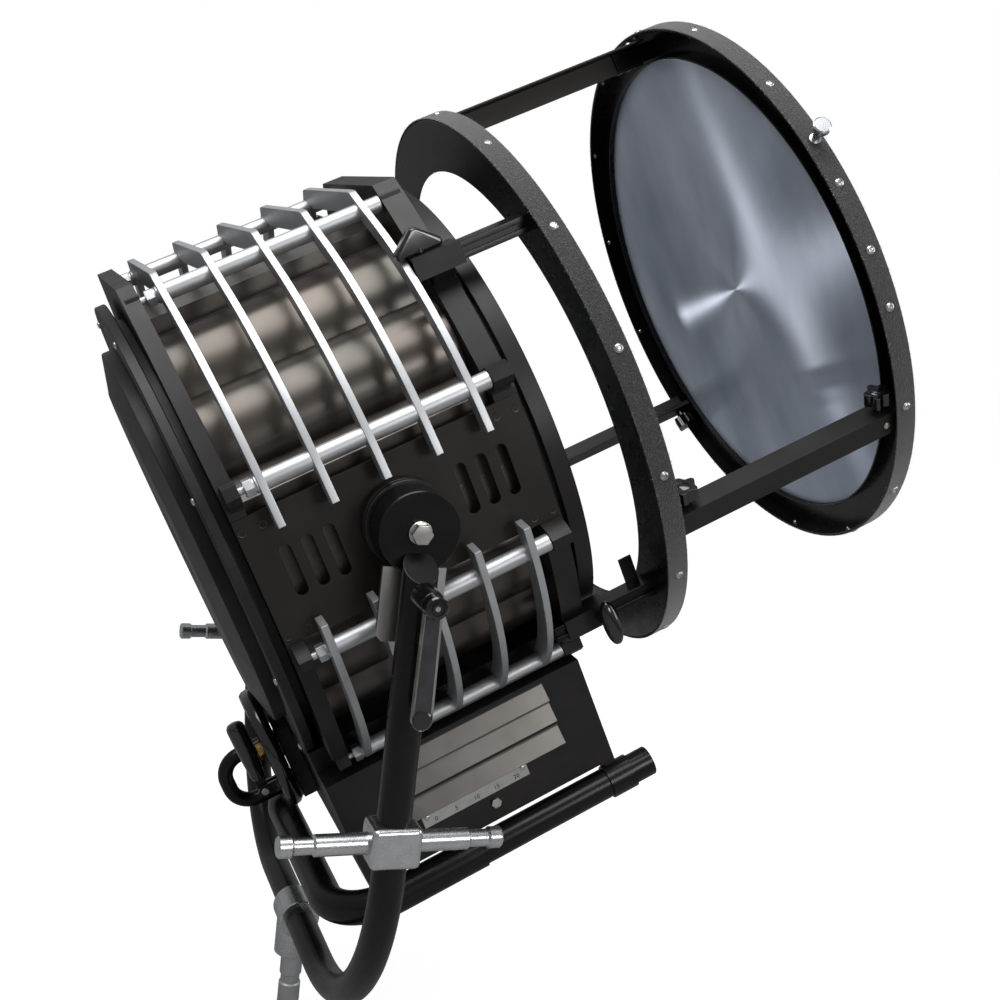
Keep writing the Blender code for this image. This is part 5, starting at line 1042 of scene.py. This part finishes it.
def make_hand_wheel():
    """Dished moulded wheel with a scalloped rim, the grip's cheeks and its pin."""
    rear = WHEEL_REAR
    front = rear + WHEEL_WIDTH
    bore = SHAFT_R + GAP
    rim = WHEEL_R - 0.013
    web_rear = rear + 0.007
    web_front = web_rear + 0.006
    profile = [(bore, front), (0.018, front), (0.018, web_front), (rim, web_front),
        (rim, front - 0.002), (WHEEL_R - 0.005, front - 0.002), (WHEEL_R - 0.001, front - 0.006),
        (WHEEL_R, (rear + front) / 2), (WHEEL_R - 0.001, rear + 0.005),
        (WHEEL_R - 0.004, rear + 0.0006), (WHEEL_R - 0.007, rear), (rim, rear),
        (rim - 0.001, web_rear), (0.018, web_rear), (0.018, rear), (bore, rear)]
    wheel = along(turned(profile, 72, closed=True), (0, WHEEL_T, WHEEL_U))
    pivot_u = WHEEL_U - GRIP_DROP
    foot = web_rear + 0.001 - GRIP_A
    outline = [(foot, 0.008), *arc(0.008, 90, 270, 12), (foot, -0.008)]
    cheeks = [moved(rounded(plate(outline, 0.004), 0.0005),
        (GRIP_A, WHEEL_T + sign * 0.0055, pivot_u), ACROSS["near"]) for sign in (-1, 1)]
    piece("wheel_casting", together(wheel, *cheeks), GLOSS, "wheel", "hand_wheel")
    pin = turned([(0, 0.009), (0.0042, 0.009), (0.0048, 0.0084), (0.0048, 0.0076), (0.003, 0.0076),
        (0.003, -0.0076), (0.0048, -0.0076), (0.0048, -0.0084), (0.0042, -0.009), (0, -0.009)], 24)
    piece("grip_pivot", moved(pin, (GRIP_A, WHEEL_T, pivot_u), ACROSS["near"]), ZINC, "wheel")
    r = GRIP_R
    top = GRIP_NECK + GRIP_LENGTH
    profile = [(0, top), (0.45 * r, top - 0.0003), (0.8 * r, top - 0.002), (0.96 * r, top - 0.005),
        (r, top - 0.010), (0.98 * r, GRIP_NECK + 0.05), (0.9 * r, GRIP_NECK + 0.025),
        (0.8 * r, GRIP_NECK + 0.004), (0.7 * r, GRIP_NECK), (0, GRIP_NECK)]
    grip = turned(profile, 32)
    eye = 0.0065
    tongue = plate([(eye, GRIP_NECK + 0.002), (-eye, GRIP_NECK + 0.002)] + arc(eye, 180, 360, 12),
        0.006, [arc(0.0035, 0, 330, 11)])
    moved(tongue, turn=ACROSS["near"])
    piece("fold_grip", moved(together(grip, tongue), (GRIP_A, WHEEL_T, pivot_u)), GLOSS, "grip",
        "crank_grip")


def make_scale():
    """Scale plate on the near panel, with ticks and plain numbers."""
    rear, front, low, top = -0.096, 0.041, -0.376, -0.351
    out = -BOX_HALF_WIDTH
    sheet = rounded(block((rear, out - 0.0010, low), (front, out + 0.0002, top)), 0.0003)
    piece("scale_plate", sheet, SCALE)
    ticks = []
    count = 21
    for index in range(count):
        a = rear + 0.016 + (front - rear - 0.032) * index / (count - 1)
        length = 0.0075 if index % 5 == 0 else 0.0045
        ticks.append(block((a - 0.0003, out - 0.0012, top - 0.004 - length),
            (a + 0.0003, out - 0.0009, top - 0.004)))
    piece("scale_ticks", together(*ticks), INK)
    for index in range(5):
        a = rear + 0.016 + (front - rear - 0.032) * index / 4
        text = bpy.data.curves.new("scale_number", "FONT")
        text.body = str(index * 5)
        text.size = 0.0075
        text.align_x = "CENTER"
        text.extrude = 0.00012
        number = moved(solid_of(text), (a, out - 0.0011, low + 0.0035), ACROSS["near"])
        piece(f"scale_number_{index}", number, INK)
    screws = [moved(pan_screw(0.0034, 0.0018), (a, out - 0.0010, (low + top) / 2), ACROSS["near"])
        for a in (rear + 0.006, front - 0.006)]
    piece("scale_screws", together(*screws), ZINC)
    bolt = moved(hex_head(0.0065, 0.0045), (-0.009, out, -0.388), ACROSS["near"])
    piece("panel_bolt", bolt, ZINC)


# Inside


def make_lamp():
    """Quartz bulb on its ceramic base with two electrodes, and the mirror behind it."""
    b = BULB_R
    neck = LAMP_BASE_U + 0.035
    profile = [(0, 0.086), (0.16 * b, 0.0855), (0.35 * b, 0.083), (0.58 * b, 0.0765),
        (0.76 * b, 0.066), (0.91 * b, 0.051), (b, 0.032), (b, -0.030), (0.91 * b, -0.047),
        (0.76 * b, -0.060), (0.6 * b, -0.071), (0.47 * b, neck + 0.006), (0.45 * b, neck),
        (0, neck)]
    piece("lamp_bulb", moved(turned(profile, 32), (ARC_A, 0, 0)), QUARTZ, "carriage", "lamp")
    base = turned([(0, neck + 0.004), (LAMP_BASE_R - 0.001, neck + 0.004),
        (LAMP_BASE_R, neck + 0.003), (LAMP_BASE_R, LAMP_BASE_U), (0, LAMP_BASE_U)], 32)
    piece("lamp_base", moved(base, (ARC_A, 0, 0)), SCALE, "carriage", slot="quartz_lamp")
    for sign in (-1, 1):
        rod = turned([(0, 0.0), (0.0022, -0.001), (0.0026, -0.006), (0.0014, -0.008),
            (0.0014, -0.045), (0, -0.045)], 16)
        if sign > 0:
            moved(rod, turn=Matrix.Rotation(math.pi, 4, "X"))
        piece("electrode_" + ("upper" if sign > 0 else "lower"),
            moved(rod, (ARC_A, 0, sign * 0.012)), STEEL, "carriage", slot="quartz_lamp")
    outer_r = REFLECTOR_R + REFLECTOR_T
    angles = [math.radians(REFLECTOR_DEG * step / 20) for step in range(21)]
    inner = [(REFLECTOR_R * math.sin(x), -REFLECTOR_R * math.cos(x)) for x in angles]
    outer = [(outer_r * math.sin(x), -outer_r * math.cos(x)) for x in angles]
    bowl = along(turned(inner + outer[::-1], 64), (ARC_A, 0, 0))
    piece("mirror_bowl", bowl, MIRROR, "carriage", "reflector", smooth=25)


# Adapter


def ring_shell(rear_web):
    """Rolled ring with a flat web at its rear or front, edges rounded."""
    inner = RING_R - RING_T
    if rear_web:
        rear, front = ADAPTER_REAR, RING_FRONT
        web = rear + WEB_T
        profile = [(inner, front - SOFT), (inner + SOFT, front), (RING_R - SOFT, front),
            (RING_R, front - SOFT), (RING_R, rear + 0.002), (RING_R - 0.002, rear),
            (WEB_HOLE_R + SOFT, rear), (WEB_HOLE_R, rear + SOFT), (WEB_HOLE_R, web - SOFT),
            (WEB_HOLE_R + SOFT, web), (inner, web)]
        return ring(profile, TURNS * 2)
    rear, front = LENS_RING_REAR, LENS_RING_FRONT
    lip = front - WEB_T
    seat_in = BIG_LENS_R + GAP
    seat_out = seat_in + 0.0023
    seat_rear = lip - SEAT_DEPTH
    profile = [(LENS_OPENING_R, lip), (LENS_OPENING_R, front - SOFT),
        (LENS_OPENING_R + SOFT, front), (RING_R - 0.002, front), (RING_R, front - 0.002),
        (RING_R, rear + SOFT), (RING_R - SOFT, rear), (inner + SOFT, rear), (inner, rear + SOFT),
        (inner, lip), (seat_out, lip), (seat_out, seat_rear + 0.0006),
        (seat_out - 0.0006, seat_rear), (seat_in + 0.0006, seat_rear),
        (seat_in, seat_rear + 0.0006), (seat_in, lip)]
    return ring(profile, TURNS * 2)


def rail_point(degrees, radius, side):
    """Point beside a rail's ridge, at a radius and a distance to the side of its angle."""
    angle = math.radians(degrees)
    out = Vector((math.cos(angle), math.sin(angle)))
    across = Vector((-math.sin(angle), math.cos(angle)))
    return tuple(out * radius + across * side)


def rail_tabs(low, high):
    """A ring's three tabs, one at each rail."""
    side = RAIL_T + GAP
    top = RAIL_RIDGE_R - RAIL_T - GAP
    tabs = []
    for degrees in RAIL_DEGS.values():
        outline = [rail_point(degrees, top - 0.022, side), rail_point(degrees, top, side),
            rail_point(degrees, top, side + 0.004), rail_point(degrees, top - 0.022, side + 0.004)]
        tab = rounded(plate(outline, high - low), EDGE)
        tabs.append(along(tab, ((low + high) / 2, 0, 0)))
    return tabs


def make_middle_ring():
    """Middle ring with its four grooved arms, three tabs and the hook."""
    arms = []
    for sign in SIDES.values():
        for level in (1, -1):
            t, u = sign * ARM_T, AXIS_DROP + level * ARM_U
            w, h = ARM_WIDTH / 2, ARM_HEIGHT / 2
            arms.append(rounded(block((ARM_REAR, t - w, u - h),
                (ADAPTER_REAR + 0.001, t + w, u - 0.003)), EDGE))
            arms.append(rounded(block((ARM_REAR, t - w, u + 0.003),
                (ADAPTER_REAR + 0.001, t + w, u + h)), EDGE))
            face = t + sign * w
            inner = sorted((t - sign * w, face - sign * 0.003))
            arms.append(block((ARM_REAR + 0.0006, inner[0] + 0.0006, u - 0.0036),
                (ADAPTER_REAR + 0.001, inner[1], u + 0.0036)))
    hook = rounded(block((0.222, -ARM_T - 0.0015, AXIS_DROP - ARM_U),
        (0.238, -ARM_T + 0.0015, -0.170)), 0.0005)
    web = ADAPTER_REAR + WEB_T
    whole = together(ring_shell(True), hook, *arms, *rail_tabs(web - 0.001, web + TAB_LENGTH))
    piece("rolled_middle_ring", whole, ENAMEL, "adapter", "middle_ring")


def make_lens_ring():
    """Front ring that holds the wide lens, with its three tabs."""
    lip = LENS_RING_FRONT - WEB_T
    whole = together(ring_shell(False), *rail_tabs(lip + 0.001 - TAB_LENGTH, lip + 0.001))
    piece("rolled_lens_ring", whole, ENAMEL, "adapter", "lens_ring")


def make_fresnel_lens():
    """Stepped lens: each step's facet leans more steeply towards the rim."""
    front = LENS_RING_FRONT - WEB_T - GAP
    rear = front - BIG_LENS_T
    edge = LENS_OPENING_R - 0.004
    profile = [(0, front)]
    radius = 2 * STEP_PITCH
    while radius < edge:
        fall = 0.0004 + 0.0016 * radius / edge
        profile += [(radius, front - fall), (radius + 0.0002, front)]
        radius += STEP_PITCH
    profile += [(BIG_LENS_R, front), (BIG_LENS_R, rear), (0, rear)]
    piece("stepped_lens", along(turned(profile, 128)), FRESNEL, "adapter", "fresnel_lens",
        smooth=12)


def make_bands():
    """Loop tape round both rings, with rivets through it and loose loops along its edges."""
    rng = random.Random(LINT_SEED)
    seat = RING_R + BAND_SEAT
    outer = seat + BAND_T
    inside = RING_R - RING_T + 0.0001
    for name, rear, front, rivet_degs, rivet_shift, tail_shift in (
            ("middle", ADAPTER_REAR, RING_FRONT, MIDDLE_RIVETS, 0.001, 0.004),
            ("lens", LENS_RING_REAR, LENS_RING_FRONT, LENS_RIVETS, 0.0, -0.006)):
        high, low = front - 0.0002, rear + 0.0002
        profile = [(seat, high), (outer - 0.0004, high), (outer, front - 0.0008),
            (outer, rear + 0.0008), (outer - 0.0004, low), (seat, low)]
        band = piece(name + "_loop_band", ring(profile, TURNS * 2), LOOP, "adapter")
        fibres = bmesh.new()
        for _ in range(LINT_COUNT):
            angle = rng.uniform(0, 360)
            edge = rng.random()
            a = (rear + 0.0006 if edge < 0.3 else front - 0.0006 if edge < 0.6
                else rng.uniform(rear, front))
            add_fibre(fibres, rng, a, angle, outer)
        piece(name + "_band_lint", fibres, LINT, "adapter")
        rivets = []
        for degrees in rivet_degs:
            middle = Vector(((rear + front) / 2 + rivet_shift, 0, 0))
            out = Vector((0, *polar(1.0, 180 - degrees)))
            rivets.append(moved(cup_rivet(), middle + out * (outer - 0.0002), facing(out)))
            tail = middle + Vector((tail_shift, 0, 0)) + out * inside
            rivets.append(moved(rivet_tail(), tail, facing(-out)))
        piece(name + "_rivets", together(*rivets), ZINC, "adapter")


def add_fibre(bm, rng, a, degrees, radius):
    """One curled nylon loop that stands off the tape: three short flat links."""
    length = rng.uniform(0.0012, 0.0034)
    lean_a = rng.uniform(-1, 1)
    lean_round = rng.uniform(-1, 1)
    width = 0.00011
    t, u = polar(radius - 0.0002, degrees)
    out = Vector((0, t, u)).normalized()
    round_ring = Vector((0, -out.z, out.y))
    way = (out * rng.uniform(0.3, 1.0) + round_ring * lean_round
        + Vector((lean_a, 0, 0))).normalized()
    side = way.cross(out)
    if side.length < 1e-4:
        side = round_ring.copy()
    side = side.normalized() * width
    at = Vector((a, t, u))
    last = None
    for step in range(4):
        share = step / 3
        point = at + way * length * share - out * length * 0.5 * share * share
        pair = (bm.verts.new(point - side), bm.verts.new(point + side))
        if last:
            bm.faces.new((last[0], last[1], pair[1], pair[0]))
        last = pair


def star_head():
    """Five-lobed knob head with a crowned top."""
    outline = [polar(STAR_R - 0.0024 * (1 - math.cos(math.radians(5 * degrees))), degrees)
        for degrees in range(0, 360, 6)]
    head = rounded(plate(outline, STAR_H), 0.0016, 3, 60)
    cap = turned([(0, STAR_H / 2 + 0.0012), (0.005, STAR_H / 2 + 0.0010), (0.0075, STAR_H / 2),
        (0.0075, STAR_H / 2 - 0.001)], SMALL_TURNS)
    return together(head, cap)


def make_star_knobs():
    """A knob on its stem beside each end of each rail."""
    for rail, degrees in RAIL_DEGS.items():
        angle = math.radians(degrees)
        turn = facing(Vector((0, math.sin(angle), -math.cos(angle))))
        for end, a in STAR_PLACES.items():
            stem = turned([(0, STAR_STEM + 0.001), (0.0062, STAR_STEM + 0.001),
                (0.0055, STAR_STEM - 0.002), (0.0055, 0), (0.003, 0), (0.003, -0.0076),
                (0, -0.0076)], SMALL_TURNS)
            head = moved(star_head(), (0, 0, STAR_STEM + STAR_H / 2))
            knob = moved(together(stem, head), (a, *rail_point(degrees, STAR_RADIUS, -GAP)), turn)
            piece(f"{rail}_{end}_lobed_knob", knob, GLOSS, f"{rail}_{end}_star",
                f"{rail}_{end}_star_knob")


def make_thumb_bolt():
    """Bolt with a round knurled head that stands out of the lens ring."""
    top = RING_R + 0.031
    head = top - 0.008
    foot = RING_R + 0.0014
    profile = [(0, top), (0.0085, top), (0.0100, top - 0.0012), (0.0100, head + 0.001),
        (0.0090, head), (0.0045, head - 0.003), (0.0045, foot + 0.0042), (0.0065, foot + 0.004),
        (0.0065, foot), (0.004, foot), (0.004, RING_R - 0.0065), (0, RING_R - 0.0065)]
    out = Vector((0, *polar(1, THUMB_DEG)))
    piece("knurled_bolt", moved(turned(profile), (THUMB_A, 0, 0), facing(out)), STEEL, "thumb",
        "thumb_bolt")


def knob_boss(reach):
    """Round foot of a T-knob, its washer on local Z = 0."""
    return turned([(0, reach), (0.0078, reach), (0.0078, 0.0012), (0.0068, 0), (0.004, 0),
        (0.004, -0.0018), (0, -0.0018)], 28)


def make_t_knobs():
    """Egg-shaped grips on the sides, and flat three-cornered wings on top."""
    for side, sign in SIDES.items():
        face = ARM_U + AXIS_DROP + ARM_HEIGHT / 2 + KNOB_WALL
        wing = rounded(plate([(-0.0255, 0.0005), (0.0255, 0.0005), (0.0265, 0.0080),
            (0.0035, 0.0270), (-0.0035, 0.0270), (-0.0265, 0.0080)], 0.0150), 0.0028, 3)
        knob = together(knob_boss(0.006), moved(wing, turn=ACROSS["near"]))
        moved(knob, (TOP_KNOB_A, sign * ARM_T, face))
        piece(side + "_top_wing", knob, GLOSS, side + "_top_t", side + "_top_knob")
        face = ARM_T + ARM_WIDTH / 2 + KNOB_WALL
        reach = LOW_KNOB_T - face
        angles = [math.radians(degrees) for degrees in range(12, 176, 8)]
        waist = [(0.0102 * math.sin(x) ** 0.8, EGG_HALF * math.cos(x)) for x in angles]
        egg = turned([(0, EGG_HALF), *waist, (0, -EGG_HALF)], 32)
        knob = together(knob_boss(reach), moved(egg, (0, 0, reach), ACROSS["near"]))
        moved(knob, (LOW_KNOB_A, sign * face, AXIS_DROP - ARM_U), ACROSS[side])
        piece(side + "_low_wing", knob, GLOSS, side + "_low_t", side + "_low_knob")


def make_rail_bolts():
    """Pan-head bolts that hold each rail's end tabs."""
    bolts = []
    for degrees in RAIL_DEGS.values():
        turn = facing(Vector((0, *polar(1, degrees))))
        for a in (ADAPTER_REAR + 0.018, LENS_RING_FRONT - 0.032):
            t, u = rail_point(degrees, RAIL_RIDGE_R, 0.014)
            bolts.append(moved(pan_screw(), (a, t, u), turn))
    piece("rail_bolts", together(*bolts), ZINC, "adapter")


# Room, light and camera


def seen_directly(owner, rays):
    """1 where a ray comes from the camera or through glass, else 0."""
    return add(owner, "ShaderNodeMath", {
        0: rays.outputs["Is Camera Ray"], 1: rays.outputs["Is Transmission Ray"]
    }, operation="MAXIMUM").outputs[0]


def make_floor():
    """One flat pale sheet: grey paper in the room's light, lifted to white where it is seen."""
    bm = bmesh.new()
    corners = ((-1, -1), (1, -1), (1, 1), (-1, 1))
    bm.faces.new([bm.verts.new((x * FLOOR_HALF, y * FLOOR_HALF, 0)) for x, y in corners])
    mesh = bpy.data.meshes.new("floor")
    bm.to_mesh(mesh)
    bm.free()
    floor = bpy.data.objects.new("floor", mesh)
    bpy.context.scene.collection.objects.link(floor)
    paper = bpy.data.materials.new("white_paper_floor")
    paper.use_nodes = True
    shader = paper.node_tree.nodes["Principled BSDF"]
    shader.inputs["Base Color"].default_value = linear("#9C9C9C")
    shader.inputs["Roughness"].default_value = 0.85
    lift = seen_directly(paper, add(paper, "ShaderNodeLightPath"))
    glow = add(paper, "ShaderNodeEmission", {"Color": linear("#FFFFFF"), "Strength": 0.86})
    both = add(paper, "ShaderNodeAddShader", {0: shader.outputs[0], 1: glow.outputs[0]})
    mixed = add(paper, "ShaderNodeMixShader", {0: lift, 1: shader.outputs[0], 2: both.outputs[0]})
    output = paper.node_tree.nodes["Material Output"]
    paper.node_tree.links.new(mixed.outputs[0], output.inputs["Surface"])
    mesh.materials.append(paper)


def make_world():
    """White where it is seen, and a dim even fill for the surfaces it lights."""
    world = bpy.data.worlds.new("studio")
    bpy.context.scene.world = world
    world.use_nodes = True
    back = world.node_tree.nodes["Background"]
    back.inputs["Color"].default_value = linear("#FFFFFF")
    rays = add(world, "ShaderNodeLightPath")
    fill = add(world, "ShaderNodeMapRange", {
        "Value": rays.outputs["Is Glossy Ray"], "To Min": 0.35, "To Max": 0.34})
    level = add(world, "ShaderNodeMath", {
        0: seen_directly(world, rays), 1: fill.outputs["Result"]}, operation="MAXIMUM")
    world.node_tree.links.new(level.outputs[0], back.inputs["Strength"])


def softbox(name, at, aim, size, power, spread_deg=180):
    """A rectangular lamp at a place, aimed at a point."""
    light = bpy.data.lights.new(name, "AREA")
    light.shape = "RECTANGLE"
    light.size, light.size_y = size
    light.energy = power
    light.spread = math.radians(spread_deg)
    lamp = bpy.data.objects.new(name, light)
    lamp.location = at
    lamp.rotation_euler = (Vector(aim) - Vector(at)).to_track_quat("-Z", "Y").to_euler()
    bpy.context.scene.collection.objects.link(lamp)


def make_lights():
    """Soft light from above, in front and the right, and a small lamp that streaks the lens."""
    softbox("top_softbox", (-0.55, -0.5, 2.75), (0, 0, 0.75), (2.4, 1.5), 64)
    softbox("front_softbox", (0.68, -2.6, 1.40), (0.25, 0, 0.5), (0.6, 0.7), 15)
    softbox("right_softbox", (2.2, -1.0, 1.6), (0.3, 0, 0.9), (0.7, 1.6), 14)
    softbox("lens_kicker", (0.63, 2.86, 0.10), (0.507, 0.0, 0.971), (0.06, 0.06), 0.12, 30)


def make_camera():
    """The photograph's view: a 50.4 mm lens on a 36 mm wide frame, rolled 6.7 degrees."""
    right = Vector((0.93271, -0.34213, 0.11402))
    up = Vector((-0.04062, 0.21451, 0.97588))
    back = right.cross(up)
    data = bpy.data.cameras.new("photo_view")
    data.sensor_width = 36.0
    data.lens = 50.43
    camera = bpy.data.objects.new("photo_view", data)
    camera.matrix_world = Matrix((right, up, back)).transposed().to_4x4()
    camera.location = (-0.42048, -1.61703, 1.007)
    bpy.context.scene.collection.objects.link(camera)
    bpy.context.scene.camera = camera


def finish_cad_pieces():
    """The cast and folded pieces that keep the CAD shape."""
    for row in (("rear_frame", POWDER), ("front_frame", POWDER), ("base_box", POWDER),
            ("near_rail", POWDER, "adapter"), ("top_rail", PLATE, "adapter", SLOTS[POWDER.name]),
            ("far_rail", POWDER, "adapter"), ("brake_plate", ZINC, "yoke"),
            ("focus_gearbox", CASTING), ("lamp_carriage", CASTING, "carriage"),
            ("ignitor", CASTING), ("carriage_track", ALUMINIUM)):
        made = softened(*row)
        if row[0] == "base_box":
            paint_louvre_highlights(made)


def paint_louvre_highlights(box):
    """Give the slanted faces of the louvres a lighter grey metal: a painted highlight on the black
    box.
    """
    box.data.materials.append(LOUVRE_HIGHLIGHT)
    to_head = HEAD.inverted()
    for face in box.data.polygons:
        place = to_head @ face.center
        across = (to_head.to_3x3() @ face.normal).y
        in_field = (LOUVRE_REAR < place.x < LOUVRE_FRONT
            and LOUVRE_TOPS[2] - 0.028 < place.z < LOUVRE_TOPS[0])
        if in_field and abs(place.y) > 0.17 and 0.5 < abs(across) < 0.995:
            face.material_index = 1


for make in (make_floor, make_world, make_lights, make_camera, finish_cad_pieces, make_yoke,
        make_spigot, make_side_pins, make_pivot_bolts, make_clamp_lever, make_side_plates,
        make_brake_discs, make_housing, make_upper_ribs, make_guard_rods, make_lower_guards,
        make_rear_ring, make_flange_ring, make_skid, make_rear_handle, make_focus_shaft,
        make_hand_wheel, make_scale, make_lamp, make_middle_ring, make_lens_ring,
        make_fresnel_lens, make_bands, make_star_knobs, make_thumb_bolt, make_t_knobs,
        make_rail_bolts):
    make()

bpy.context.scene.view_settings.view_transform = "Standard"
bpy.context.view_layer.update()
